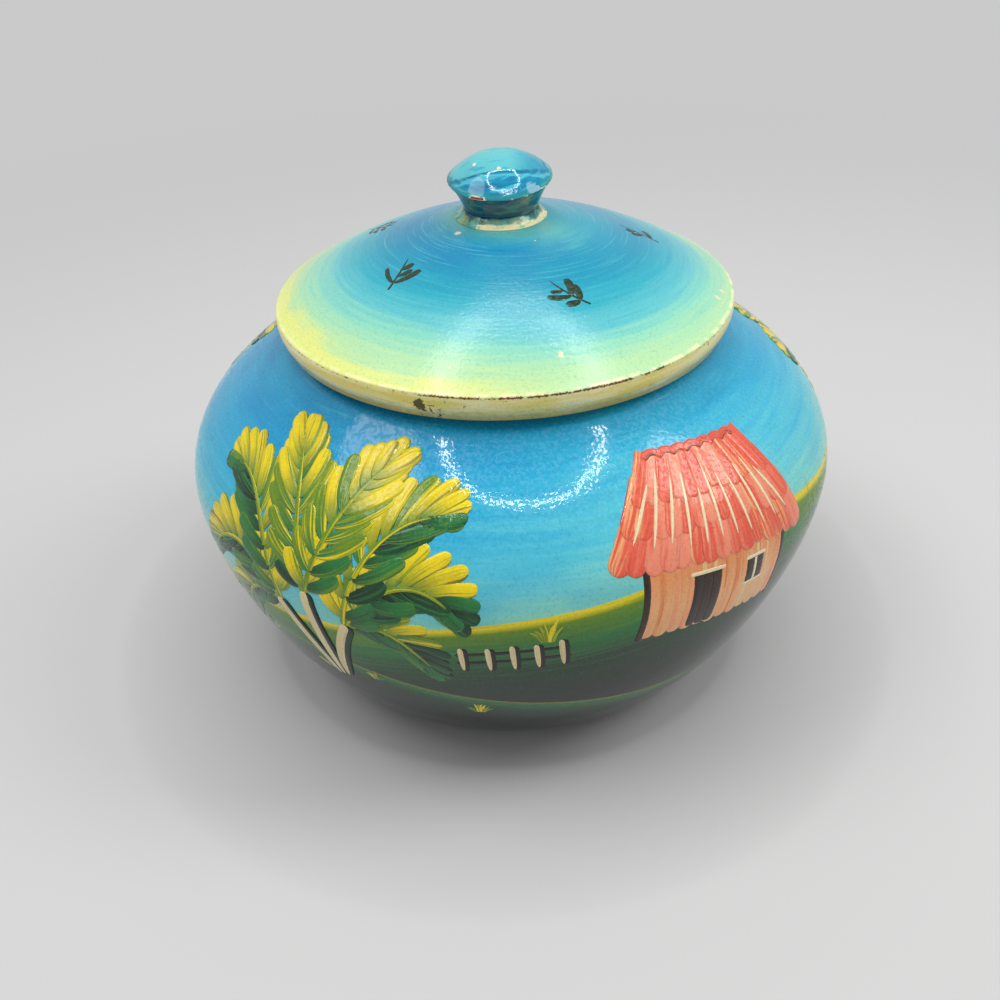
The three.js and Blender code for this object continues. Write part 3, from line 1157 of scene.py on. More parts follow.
@dataclass(frozen=True)
class KnobPaint:
    """Blue and teal pulled round the knob, with a pale top and flecks.

    Attributes:
        edge_run: Length from the middle of the top to the sharp edge, in mm.
        top_reach: Length from the middle to the end of the pale top, in mm.
        chip_angle: Angle of the chip on the edge, in degrees.
        flecks: Places of the flecks on its top, in mm.
    """

    edge_run: float
    top_reach: float = 4.35
    chip_angle: float = -117.0
    flecks: tuple[Point, ...] = ((-3.8, -1.8), (-0.1, -3.9))
    lacquer: Lacquer = Lacquer(0.06, 0.05, 0.5, 0.008, 0.0, 0.02, 0.12)

    def side(self, place: Place, along: Value, streak: Value) -> Value:
        """Colour of the shoulder and of the undercut.

        Args:
            place: Place in the knob.
            along: Length from the middle of the top, in mm.
            streak: Bristle streaks round it.

        Returns:
            The colour.
        """
        tree = place.tree
        stops = [
            (0.28, Paints.TEAL),
            (0.42, Paints.DEEP_BLUE),
            (0.54, Paints.SKY_BLUE),
            (0.68, Paints.PALE_TEAL),
        ]
        shoulder = tree.ramp(streak, 0.25, 0.75, stops)
        low = tree.smooth(along, self.edge_run - 1.6, self.edge_run) * 0.6
        shoulder = tree.blend(shoulder, Paints.DEEP_SEA, low)
        # Greenish streaks in the undercut, a little more towards the right: paint streaks with a
        # painted sheen in them.
        smear = place.streaks(along, 2.2, 0.9, 14.0)
        greenish_streaks_and_sheen = tree.smooth(smear + place.turn_x * 0.08, 0.45, 0.65)
        under = tree.blend(Paints.DEEP_TEAL, Paints.DEEP_SEA, greenish_streaks_and_sheen)
        return tree.blend(shoulder, under, tree.smooth(along, self.edge_run, self.edge_run + 0.3))

    def edge(self, place: Place, along: Value, colour: Value) -> Value:
        """Adds the dark line under the sharp edge, the painted highlight along it, broken by flaked
        paint, and its chip.

        Args:
            place: Place in the knob.
            along: Length from the middle of the top, in mm.
            colour: Colour of the paint.

        Returns:
            The colour with the wear on it.
        """
        tree = place.tree
        off = along - self.edge_run
        under_edge_line = tree.smooth(tree.maths("ABSOLUTE", off - 0.25), 0.2, 0.08)
        colour = tree.blend(colour, Paints.INK, under_edge_line * 0.75)
        # Pale line right on the sharp edge: partly painted highlight, partly pale flakes where the
        # paint has chipped.
        flake_and_glint_noise = tree.noise(place.spot, 0.9, 2.0, 0.6)
        line = tree.smooth(tree.maths("ABSOLUTE", off - 0.05), 0.2, 0.1)
        colour = tree.blend(colour, Paints.IVORY, tree.smooth(flake_and_glint_noise, 0.56, 0.62) * line * 0.8)
        facing = tree.maths("COSINE", place.angle - math.radians(self.chip_angle))
        ragged = facing + (flake_and_glint_noise - 0.5) * 0.08
        broken = tree.smooth(tree.noise(place.spot, 1.5, 1.0), 0.40, 0.44)
        for paint_colour, least, half in ((Paints.IVORY, 0.984, 0.36), (Paints.RUST, 0.990, 0.24)):
            rim = tree.smooth(tree.maths("ABSOLUTE", off + 0.2), half, half - 0.1)
            chipped = tree.smooth(ragged, least, least + 0.003) * broken
            colour = tree.blend(colour, paint_colour, chipped * rim)
        return colour

    def make(self) -> bpy.types.Material:
        """Builds the material."""
        material, tree = Tree.of_material("painted knob")
        place = Place(tree)
        along = place.attribute("along")
        streak = place.streaks(along + place.x * 0.1, 1.4, 1.3, 3.0)
        cap = tree.noise(place.spot * (0.16, 0.8, 0.8), 0.8, 3.0, 0.6)
        top = tree.blend(Paints.SKY_BLUE, Paints.TURQUOISE, tree.smooth(cap, 0.28, 0.46))
        top = tree.blend(top, Paints.SEA_GREEN, tree.smooth(cap, 0.55, 0.75) * 0.6)
        top = tree.blend(top, Paints.SKY_BLUE, tree.smooth(place.x + cap * 2, 2.0, 6.5) * 0.8)
        wide = (place.x + 0.5) * 0.6
        reach = tree.maths("SQRT", wide * wide + place.y * place.y) + (cap - 0.5) * 1.4
        fringe = reach - self.top_reach
        upper = tree.smooth(fringe, 0.1, -0.1) * tree.smooth(along, self.edge_run, self.edge_run - 0.4)
        colour = tree.blend(self.side(place, along, streak), top, upper)
        above = tree.smooth(along, self.edge_run - 0.2, self.edge_run - 0.8)
        for paint_colour, gap, strength in ((Paints.TEAL, 0.2, 0.6), (Paints.PALE_TEAL, 0.75, 0.7)):
            line = tree.smooth(tree.maths("ABSOLUTE", fringe - gap), 0.32, 0.08)
            colour = tree.blend(colour, paint_colour, line * above * strength)
        colour = self.edge(place, along, place.mottled(colour, 0.4))
        colour = tree.blend(colour, Paints.IVORY, place.flecks(self.flecks, 0.36) * above)
        self.lacquer.finish(place, colour, streak)
        return material


@dataclass(frozen=True)
class SlipPaint:
    """Slip that beds the knob on the lid: teal and olive, with a cream rim on one side.

    Attributes:
        cream_angle: Angle of the middle of the cream rim, in degrees.
        dab_angle: Angle of a small dab of cream beside it, in degrees.
    """

    cream_angle: float = -58.0
    dab_angle: float = -113.0
    lacquer: Lacquer = Lacquer(0.08, 0.05, 0.9, 0.10, 0.0, 0.08)

    def make(self) -> bpy.types.Material:
        """Builds the material."""
        material, tree = Tree.of_material("slip")
        place = Place(tree)
        clouds = tree.noise(place.spot, 0.45, 3.0, 0.6)
        stain = tree.noise(place.spot, 0.8, 2.0, 0.6)
        colour = tree.blend(Paints.DEEP_SEA, Paints.SEA_GREEN, tree.smooth(clouds, 0.36, 0.58))
        colour = tree.blend(colour, Paints.KHAKI, tree.smooth(stain, 0.48, 0.64) * 0.6)
        outer = place.radius + (clouds - 0.5) * 1.2
        colour = tree.blend(Paints.DEEP_TEAL, colour, tree.smooth(outer, 5.75, 6.15))
        cream = tree.blend(Paints.LIME, Paints.VANILLA, tree.smooth(stain, 0.34, 0.5))
        spread = (stain - 0.5) * 0.5
        for turn, least, inner in ((self.cream_angle, 0.45, 6.35), (self.dab_angle, 0.975, 6.3)):
            facing = tree.maths("COSINE", place.angle - math.radians(turn))
            rim = tree.smooth(facing + spread * (1 - least), least, least + 0.2 * (1 - least))
            colour = tree.blend(colour, cream, rim * tree.smooth(outer, inner, inner + 0.2))
        self.lacquer.finish(place, colour, clouds)
        return material


@dataclass(frozen=True)
class BrushPaint:
    """Paint of the strokes: two colours that the bristles pull through each other."""

    lacquer: Lacquer = Lacquer()

    def make(self) -> bpy.types.Material:
        """Builds the material."""
        material, tree = Tree.of_material("brush paint")
        place = Place(tree)
        brush = tree.node(
            "ShaderNodeAttribute", {"attribute_name": "brush"}, output="Vector"
        )
        travel, share, number = brush.parts()
        spot = tree.vector(travel * 0.10, share * 3.6, number * 3.7)
        hairs = tree.noise(spot, 1.0, 4.0, 0.62)
        body = tree.node(
            "ShaderNodeAttribute", {"attribute_name": "load_body"}, output="Color"
        )
        streak = tree.node(
            "ShaderNodeAttribute", {"attribute_name": "load_streak"}, output="Color"
        )
        side = share * 0.30 + (hairs - 0.5) * 2.4
        colour = tree.blend(body, streak, tree.smooth(side, -0.05, 0.5))
        colour = tree.blend(colour, (0.8, 0.8, 0.8), tree.smooth(hairs, 0.46, 0.3), "MULTIPLY")
        rim = tree.smooth(tree.maths("ABSOLUTE", share), 0.72, 0.98)
        colour = tree.blend(colour, (0.7, 0.72, 0.7), rim * 0.5, "MULTIPLY")
        self.lacquer.finish(place, place.mottled(colour, 0.6), hairs)
        return material


@dataclass
class TurnedPiece:
    """A piece swept from the section of its node.

    Attributes:
        node: Node of the frame that it stands for.
        body: Body that it rides on.
        slot: Material slot of the record; not used.
        tree: Geometry tree that sweeps a section.
        facets: Number of facets round it.
        step: Greatest length between points of its section.
        edge: Wear on its corners.
        stray: How far its wall strays inwards.
        lean: Angles by which its head leans to the front and to the left, in degrees.
        crease: Least turn of a corner between long lines of its section, in degrees.
        blunt: Length from which such a line is long.
    """

    node: str
    body: str
    slot: str
    tree: Tree
    facets: int = 192
    step: float = 0.8 * MM
    edge: float = 0.15 * MM
    stray: float = 0.2 * MM
    lean: tuple[float, float] = (0.0, 0.0)
    crease: float = 28.0
    blunt: float = 1.0 * MM

    def section(self) -> Outline:
        """Section of the piece before it is made fine."""
        return Outline.of_node(self.node)

    def outline(self) -> Outline:
        """Fine section of the piece."""
        return self.section().smoothed(self.step, self.edge, self.crease, self.blunt)

    def cover(self, outline: Outline) -> np.ndarray:
        """Length from each point to the end of the paint, in mm and above zero in the paint."""
        return np.full(len(outline.points), 10.0)

    def loose(self, outline: Outline) -> np.ndarray:
        """Share of the stray that each point of the section takes."""
        return np.ones(len(outline.points))

    def hinge(self) -> float:
        """Height about which it leans."""
        return 0.0

    def lifted(self, outline: Outline) -> np.ndarray:
        """Share of the lean that each point of the section takes."""
        return np.zeros(len(outline.points))

    def build(self, material: bpy.types.Material) -> bpy.types.Object:
        """Sweeps, dresses and mounts the piece.

        Args:
            material: Its finish.

        Returns:
            The piece.
        """
        outline = self.outline()
        radii, heights = outline.points.T
        mesh = bpy.data.meshes.new(f"{self.node} section")
        places = np.stack([radii, np.zeros_like(radii), heights], 1)
        mesh.from_pydata(places.tolist(), [], [])
        values = {
            "along": outline.along() / MM,
            "cover": self.cover(outline),
            "loose": self.loose(outline),
            "lifted": self.lifted(outline),
        }
        for name, numbers in values.items():
            attribute = mesh.attributes.new(name, "FLOAT", "POINT")
            attribute.data.foreach_set("value", numbers.astype(np.float32))
        section = bpy.data.objects.new(f"{self.node} section", mesh)
        bpy.context.scene.collection.objects.link(section)
        piece = self.tree.grow(
            f"{self.node}_turned",
            {
                "Section": section,
                "Points": len(outline.points),
                "Facets": self.facets,
                "Stray": self.stray,
                "Lean": tuple(map(math.radians, (self.lean[0], -self.lean[1], 0.0))),
                "Hinge": self.hinge(),
                "Material": material,
            },
        )
        bpy.data.objects.remove(section)
        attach(piece, self.body)
        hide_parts(self.node)
        faces = len(piece.data.polygons)
        LOG.info("%s: %d faces from %d points", piece.name, faces, len(outline.points))
        return piece


@dataclass
class Pot(TurnedPiece):
    """The round pot, painted outside and over its rim."""

    inner_paint: float = 2.5

    def cover(self, outline: Outline) -> np.ndarray:
        """Length in mm into the paint, which ends inside the mouth and on the foot."""
        along = outline.along() / MM
        mouth = outline.nearest(28.9 * MM, outline.points[:, 1].max())
        foot = outline.nearest(33.4 * MM, 0.0)
        return np.minimum(along - along[mouth] + self.inner_paint, along[foot] - along)

    def wall(self) -> Outline:
        """Outer wall, from the foot up to the rim."""
        outline = self.outline()
        radii, heights = outline.points.T
        foot = outline.nearest(33.4 * MM, 0.0)
        rim = int(np.where(heights > heights.max() - 0.02 * MM, radii, 0).argmax())
        return outline.part(foot, rim)


@dataclass
class Lid(TurnedPiece):
    """The flat lid, painted on its top and band, with a bare flange below."""

    def section(self) -> Outline:
        """Section with the edge of its top a little crisper than in the frame."""
        points = super().section().points.copy()
        corner = np.array([37.3, 67.3]) * MM
        far = np.linalg.norm(points - corner, axis=1)
        near = (far < 0.7 * MM) & (points[:, 0] > 36.0 * MM)
        points[near] += (corner - points[near]) * 0.55
        return Outline(points)

    def marks(self) -> tuple[float, float]:
        """Height of the edge of the top and the length from the middle to it, in mm."""
        outline = self.outline()
        arris = outline.nearest(37.2 * MM, 67.2 * MM)
        return outline.points[arris][1] / MM, outline.along()[arris] / MM

    def cover(self, outline: Outline) -> np.ndarray:
        """Length in mm into the paint, which ends under the band."""
        along = outline.along() / MM
        seat = outline.nearest(35.0 * MM, 62.8 * MM)
        return along[seat] - along

    def top(self) -> Outline:
        """Top of the lid, from its edge to the middle."""
        outline = self.outline()
        arris = outline.nearest(36.4 * MM, 67.6 * MM)
        return outline.part(arris, 1)


@dataclass
class Knob(TurnedPiece):
    """The knob, which sits a little askew on its neck."""

    def edge_of(self, outline: Outline) -> int:
        """Index of the sharp edge between the shoulder and the undercut."""
        return int(outline.points[:, 0].argmax())

    def edge_run(self) -> float:
        """Length from the middle of the top to that edge, in mm."""
        outline = self.outline()
        return float(outline.along()[self.edge_of(outline)] / MM)

    def hinge(self) -> float:
        """Height of the edge."""
        plain = self.section()
        return float(plain.points[self.edge_of(plain), 1])

    def lifted(self, outline: Outline) -> np.ndarray:
        """Share of the lean, which grows along the neck up to the edge."""
        heights = outline.points[:, 1]
        foot = heights.min()
        return np.clip((heights - foot) / (self.hinge() - foot), 0.0, 1.0)


@dataclass
class Collar(TurnedPiece):
    """Slip round the neck of the knob, which it runs into.

    Attributes:
        bed: Radius inside the neck where the slip ends.
        shoulder: Radius where its top meets the neck.
    """

    bed: float = 5.4 * MM
    shoulder: float = 5.95 * MM

    def section(self) -> Outline:
        """Section with no gap between the slip and the neck."""
        points = super().section().points.copy()
        inside = points[:, 0] < 6.21 * MM
        top = ~inside & (points[:, 1] > 80.1 * MM)
        rest = (points[top, 1] - 80.1 * MM) / (points[:, 1].max() - 80.1 * MM)
        points[top, 0] -= (points[top, 0] - self.shoulder) * rest
        points[inside, 0] = self.bed
        return Outline(points)


class Tip(Enum):
    """How a stroke starts or ends."""

    ROUND = "round"
    POINTED = "pointed"
    SQUARE = "square"


@dataclass(frozen=True)
class Stroke:
    """One pull of the brush, drawn flat in mm from the foot of its motif.

    Attributes:
        line: Two to four points: the ends, with the points that bend the line between them.
        width: Greatest width.
        load: Paint on the brush.
        tips: How it starts and ends.
        layer: How many strokes it lies on.
    """

    line: tuple[Point, ...]
    width: float
    load: Load
    tips: tuple[Tip, Tip] = (Tip.ROUND, Tip.POINTED)
    layer: int = 0

    def path(self) -> np.ndarray:
        """Points along the stroke, closer together at its ends."""
        reach = sum(math.dist(a, b) for a, b in zip(self.line, self.line[1:]))
        steps = min(max(7, math.ceil(reach / 0.8) + 3), 26)
        share = (1 - np.cos(np.linspace(0, math.pi, steps)))[:, None] / 2
        level = [np.array(point) for point in self.line]
        while len(level) > 1:
            level = [a * (1 - share) + b * share for a, b in zip(level, level[1:])]
        return level[0]

    def widths(self, travel: np.ndarray) -> np.ndarray:
        """Half the width at each point.

        Args:
            travel: Length from the start to each point.

        Returns:
            Half widths, nothing at both ends.
        """
        half = self.width / 2
        reach = {
            Tip.ROUND: min(half, travel[-1] / 2),
            Tip.POINTED: travel[-1] * 0.62,
            Tip.SQUARE: min(0.12, travel[-1] / 4),
        }
        share = np.ones_like(travel)
        for tip, gone in zip(self.tips, (travel, travel[-1] - travel)):
            near = np.clip(gone / reach[tip], 0, 1)
            share = share * np.sqrt(1 - (1 - near) ** 2)
        share[[0, -1]] = 0
        return half * share


@dataclass(frozen=True)
class Spot:
    """Where a motif stands on a wall.

    Attributes:
        angle: Angle about the axis, in degrees.
        foot: Length up the wall to its foot, in mm.
        scale: Its size.
        layer: Lowest layer of its strokes.
        mirrored: Whether it is drawn the other way round.
        tilt: Angle by which it leans to the left, in degrees.
    """

    angle: float
    foot: float
    scale: float = 1.0
    layer: int = 0
    mirrored: bool = False
    tilt: float = 0.0

    def turned(self) -> np.ndarray:
        """Matrix that turns rows of flat points by the tilt."""
        cosine, sine_part = math.cos(math.radians(self.tilt)), math.sin(math.radians(self.tilt))
        return np.array([[cosine, sine_part], [-sine_part, cosine]])


@dataclass
class Brushwork:
    """Strokes that lie on one wall, which become one piece.

    Attributes:
        name: Name of the piece.
        wall: Wall that they lie on, from its lower end.
        body: Body that it rides on.
        slot: Material slot of the record; not used.
        stray: Stray of the wall.
        thickness: How much a stroke swells in its middle, in metres.
        lift: Height of the lowest layer over the wall, in metres.
        sunk: How far each stroke reaches into the wall, in metres.
        layer_step: Height of each further layer, in metres.
    """

    name: str
    wall: Outline
    body: str
    slot: str
    stray: float
    thickness: float = 0.002 * MM
    lift: float = 0.012 * MM
    layer_step: float = 0.005 * MM
    sunk: float = 0.012 * MM
    laid: list[tuple[Spot, Stroke]] = field(default_factory=list)

    def add(self, spot: Spot, strokes: list[Stroke]) -> None:
        """Lays a motif's strokes at a spot."""
        self.laid.extend((spot, stroke) for stroke in strokes)

    def _points(self) -> dict[str, list[Any]]:
        """Works out each point of each stroke.

        Returns:
            Lists of places, attributes and ends, all of one length.
        """
        names = ("place", "across", "centre", "body", "travel", "number", "ending")
        rows: dict[str, list[Any]] = {name: [] for name in (*names, "load_body", "load_streak")}
        for number, (spot, stroke) in enumerate(self.laid):
            size = spot.scale * MM
            hand = -size if spot.mirrored else size
            path = stroke.path() * (hand, size) @ spot.turned() + (0.0, spot.foot * MM)
            steps = np.linalg.norm(np.diff(path, axis=0), axis=1)
            travel = np.concatenate([[0.0], np.cumsum(steps)])
            heading = np.gradient(path, axis=0)
            heading /= np.maximum(np.linalg.norm(heading, axis=1), 1e-9)[:, None]
            half = stroke.widths(travel / size) * size
            lift = self.lift + (spot.layer + stroke.layer) * self.layer_step
            last = len(path) - 1
            for i, (x, y) in enumerate(path):
                side = heading[i][1] * half[i], -heading[i][0] * half[i], 0.0
                rows["place"].append((x, y, lift))
                rows["across"].append(side)
                rows["centre"].append(math.radians(spot.angle))
                rows["body"].append(0.0 if i in (0, last) else 1.0)
                rows["travel"].append(travel[i] / MM)
                rows["number"].append(float(number))
                rows["ending"].append(i in (0, last))
                rows["load_body"].append((*stroke.load.at(travel[i] / travel[last]), 1.0))
                rows["load_streak"].append((*stroke.load.streak, 1.0))
        return rows

    def build(self, tree: Tree, material: bpy.types.Material) -> bpy.types.Object:
        """Lays the strokes on the wall and mounts the piece.

        Args:
            tree: Geometry tree that lays strokes.
            material: Paint of the strokes.

        Returns:
            The piece.
        """
        rows = self._points()
        mesh = bpy.data.meshes.new(f"{self.name} paths")
        mesh.from_pydata(rows.pop("place"), [], [])
        kinds = {
            "across": ("FLOAT_VECTOR", "vector"),
            "ending": ("BOOLEAN", "value"),
            "load_body": ("FLOAT_COLOR", "color"),
            "load_streak": ("FLOAT_COLOR", "color"),
        }
        for name, values in rows.items():
            kind, key = kinds.get(name, ("FLOAT", "value"))
            attribute = mesh.attributes.new(name, kind, "POINT")
            attribute.data.foreach_set(key, np.array(values).ravel())
        paths = bpy.data.objects.new(f"{self.name} paths", mesh)
        curve = bpy.data.curves.new(f"{self.name} wall", "CURVE")
        curve.dimensions = "3D"
        spline = curve.splines.new("POLY")
        spline.points.add(len(self.wall.points) - 1)
        for point, (radius, height) in zip(spline.points, self.wall.points):
            point.co = (radius, 0.0, height, 1.0)
        wall = bpy.data.objects.new(f"{self.name} wall", curve)
        for helper in (paths, wall):
            bpy.context.scene.collection.objects.link(helper)
        piece = tree.grow(
            self.name,
            {
                "Paths": paths,
                "Path Points": len(rows["centre"]),
                "Wall": wall,
                "Stray": self.stray,
                "Thickness": self.thickness,
                "Sunk": self.sunk,
                "Material": material,
            },
        )
        for helper in (paths, wall):
            bpy.data.objects.remove(helper)
        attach(piece, self.body)
        faces = len(piece.data.polygons)
        LOG.info("%s: %d strokes, %d faces", self.name, len(self.laid), faces)
        return piece


def turned_by(vector: np.ndarray, degrees: float) -> np.ndarray:
    """Turns a flat vector to the left by an angle in degrees."""
    cosine, sine_part = math.cos(math.radians(degrees)), math.sin(math.radians(degrees))
    return np.array(
        [vector[0] * cosine - vector[1] * sine_part, vector[0] * sine_part + vector[1] * cosine]
    )


@dataclass(frozen=True)
class BroadLeaf:
    """A long leaf, combed out from its rib in short strokes.

    Attributes:
        rib: Start, bend and tip of the rib.
        reach: Half of its breadth.
        strokes_a_side: Number of strokes on each side of the rib.
        sunny: Loads of the upper side.
        shady: Loads of the lower side.
    """

    rib: tuple[Point, Point, Point]
    reach: float
    strokes_a_side: int = 10
    sunny: tuple[Load, ...] = (
        Load(Paints.LEMON, Paints.GRASS, Paints.LEAF),
        Load(Paints.LEMON, Paints.OLIVE_GOLD, Paints.GRASS),
        Load(Paints.GRASS, Paints.LEMON, Paints.LEAF),
    )
    shady: tuple[Load, ...] = (
        Load(Paints.LEAF, Paints.GRASS, Paints.BOTTLE),
        Load(Paints.LEAF, Paints.BOTTLE, Paints.BOTTLE),
        Load(Paints.BOTTLE, Paints.LEAF, Paints.PINE),
    )

    def draw(self, layer: int, chance: random.Random) -> list[Stroke]:
        """Draws the leaf.

        Args:
            layer: Its lowest layer.
            chance: Source of its small irregularities.

        Returns:
            Its strokes.
        """
        start, bend, tip = (np.array(point) for point in self.rib)
        drawn = []
        for i in range(self.strokes_a_side):
            share = 0.05 + 0.95 * i / (self.strokes_a_side - 1)
            root = (
                start * (1 - share) ** 2 + bend * 2 * share * (1 - share) + tip * share**2
            )
            heading = (bend - start) * (1 - share) + (tip - bend) * share
            heading = heading / np.linalg.norm(heading)
            length = self.reach * (0.45 + 1.0 * math.sin(math.pi * (0.12 + 0.8 * share)) ** 0.7)
            for side in (1, -1):
                splay = side * (72 - 50 * share)
                out = turned_by(heading, splay)
                length_here = length * chance.uniform(0.92, 1.08)
                middle = root + out * length_here * 0.6
                end = root + out * length_here * 0.94 + heading * length_here * 0.42
                upper = out[1] > heading[1] * 0.2
                load = chance.choice(self.sunny if upper else self.shady)
                width = self.reach * chance.uniform(0.50, 0.60)
                line = tuple(root), tuple(middle), tuple(end)
                level = layer + i % 3
                drawn.append(Stroke(line, width, load, (Tip.POINTED, Tip.ROUND), level))
        rib_load = Load(Paints.GRASS, Paints.LEMON)
        rib = Stroke(self.rib, self.reach * 0.2, rib_load, layer=layer + 3)
        return [*drawn, rib]


@dataclass(frozen=True)
class LeafClump:
    """A clump of broad leaves on pale stems, each with a dark shade beside it."""

    stems: tuple[tuple[Point, Point, Point], ...] = (
        ((-0.6, 0.0), (-1.4, 9.0), (-5.6, 17.0)),
        ((0.2, 0.2), (1.2, 10.0), (0.4, 20.0)),
        ((1.2, 0.4), (2.8, 9.0), (7.2, 15.5)),
    )
    leaves: tuple[tuple[Point, Point, Point, float], ...] = (
        ((-5.6, 16.5), (-12.5, 19.5), (-17.5, 9.5), 3.8),
        ((7.2, 15.0), (15.0, 18.5), (18.8, 8.5), 3.8),
        ((-5.4, 16.8), (-13.0, 28.0), (-22.0, 21.0), 4.6),
        ((7.0, 15.2), (15.5, 27.5), (23.5, 20.0), 4.6),
        ((-5.0, 17.0), (-9.0, 33.5), (-17.5, 34.5), 4.9),
        ((6.8, 15.6), (11.0, 32.5), (19.0, 33.0), 4.9),
        ((0.4, 19.5), (-2.0, 33.0), (-5.5, 41.0), 5.0),
        ((0.6, 19.5), (4.5, 32.5), (9.5, 40.0), 5.0),
    )

    def draw(self, chance: random.Random) -> list[Stroke]:
        """Draws the clump.

        Args:
            chance: Source of its small irregularities.

        Returns:
            Its strokes.
        """
        drawn = []
        for i, leaf in enumerate(self.leaves):
            drawn += BroadLeaf(leaf[:3], leaf[3]).draw(4 * i, chance)
        for stem in self.stems:
            shade = tuple((x + 0.55, y - 0.2) for x, y in stem)
            dark = Load(Paints.INK, Paints.BOTTLE)
            pale = Load(Paints.CREAM, Paints.IVORY)
            tips = (Tip.POINTED, Tip.ROUND)
            drawn.append(Stroke(shade, 2.3, dark, tips, 32))
            drawn.append(Stroke(stem, 1.7, pale, tips, 33))
        return drawn


@dataclass(frozen=True)
class Hut:
    """A plank hut under a thatch of broad strokes.

    Attributes:
        half_width: Half the width of its walls.
        wall: Height of its walls.
        ridge: Height of its ridge.
        eaves: Half the width of its thatch at the eaves.
        plank_loads: Paints of its walls.
        thatch_loads: Paints of its thatch.
    """

    half_width: float = 11.0
    wall: float = 11.5
    ridge: float = 25.5
    eaves: float = 16.0
    plank_loads: tuple[Load, ...] = (
        Load(Paints.PEACH, Paints.ORANGE, Paints.ORANGE),
        Load(Paints.PEACH, Paints.ROSE, Paints.ORANGE),
        Load(Paints.PEACH, Paints.CREAM, Paints.ORANGE),
    )
    thatch_loads: tuple[Load, ...] = (
        Load(Paints.CORAL, Paints.ROSE),
        Load(Paints.CORAL, Paints.PEACH),
        Load(Paints.ROSE, Paints.CORAL),
    )

    def draw(self, chance: random.Random) -> list[Stroke]:
        """Draws the hut.

        Args:
            chance: Source of its small irregularities.

        Returns:
            Its strokes.
        """
        blunt = (Tip.SQUARE, Tip.ROUND)
        square = (Tip.SQUARE, Tip.SQUARE)
        round_ends = (Tip.ROUND, Tip.ROUND)
        drawn = []
        planks = 12
        for i in range(planks):
            x = -self.half_width + 2 * self.half_width * i / (planks - 1)
            sway = chance.uniform(-0.25, 0.25)
            load = chance.choice(self.plank_loads)
            line = ((x + sway, self.wall + 1.6), (x, chance.uniform(-0.3, 0.3)))
            drawn.append(Stroke(line, 2.5, load, blunt, i % 2))
        dark = Load(Paints.BARK, Paints.INK)
        for i in range(3):
            x = -4.3 + 1.45 * i
            drawn.append(Stroke(((x, 8.6), (x, 0.2)), 1.8, dark, blunt, 2 + i))
        for i in range(3):
            y = 5.4 + 1.2 * i
            drawn.append(Stroke(((4.0, y), (7.6, y + 0.1)), 1.5, dark, square, 2 + i))
        pale = Load(Paints.IVORY, Paints.CREAM)
        window = ((3.8, 8.6), (7.9, 8.7)), ((3.8, 4.7), (7.9, 4.8)), ((5.8, 8.5), (5.8, 4.8))
        lintel = (-5.7, 8.7), (0.1, 8.8)
        for line in (*window, lintel):
            drawn.append(Stroke(line, 0.55, pale, round_ends, 5))
        for x in (-self.half_width - 0.9, self.half_width + 0.9):
            drawn.append(Stroke(((x, self.wall - 0.5), (x, -0.8)), 1.0, dark, blunt, 5))
        rows = ((0.0, 0.50, 15), (0.28, 0.78, 14), (0.56, 1.0, 12))
        for row, (low, high, thatch) in enumerate(rows):
            for i in range(thatch):
                across = -1 + 2 * i / (thatch - 1) + chance.uniform(-0.02, 0.02)
                ends = []
                for level in (high, low):
                    spread = self.eaves * (1 - 0.55 * level)
                    height = self.wall - 1.6 + (self.ridge - self.wall + 1.6) * level
                    ends.append((across * spread, height + chance.uniform(-0.4, 0.4)))
                load = chance.choice(self.thatch_loads)
                width = chance.uniform(2.8, 3.3) * (1 - 0.3 * low)
                layer = 6 + row * 4 + i % 4
                drawn.append(Stroke(tuple(ends), width, load, (Tip.SQUARE, Tip.ROUND), layer))
        for i in range(11):
            across = self.eaves * (-0.85 + 1.7 * i / 10)
            high = (across * 0.62, self.wall + 9.5 + chance.uniform(-2.0, 2.0))
            low = (across * 0.95, self.wall + 0.6 + chance.uniform(0.0, 2.0))
            drawn.append(Stroke((high, low), 0.5, pale, (Tip.POINTED, Tip.POINTED), 18))
        cap = Load(Paints.CORAL, Paints.RUST)
        for i in range(7):
            x = -6.3 + 2.1 * i
            line = ((x - 1.4, self.ridge - 0.9), (x, self.ridge + 1.0), (x + 1.5, self.ridge - 0.7))
            drawn.append(Stroke(line, 1.2, cap, round_ends, 19 + i % 2))
        return drawn


@dataclass(frozen=True)
class Tuft:
    """A tuft of grass blades.

    Attributes:
        blades: Number of blades.
        height: Their height.
        loads: Paints of the blades.
    """

    blades: int = 9
    height: float = 5.0
    loads: tuple[Load, ...] = (
        Load(Paints.GRASS, Paints.LEMON),
        Load(Paints.LEMON, Paints.GRASS),
        Load(Paints.LEAF, Paints.GRASS),
    )

    def draw(self, chance: random.Random) -> list[Stroke]:
        """Draws the tuft.

        Args:
            chance: Source of its small irregularities.

        Returns:
            Its strokes.
        """
        drawn = []
        for i in range(self.blades):
            fan = -1 + 2 * i / (self.blades - 1)
            tall = self.height * chance.uniform(0.7, 1.1) * (1 - 0.35 * abs(fan))
            line = (
                (fan * 0.9, 0.0),
                (fan * 1.2, tall * 0.6),
                (fan * self.height * 0.62, tall),
            )
            drawn.append(Stroke(line, 0.75, chance.choice(self.loads), layer=i % 4))
        return drawn


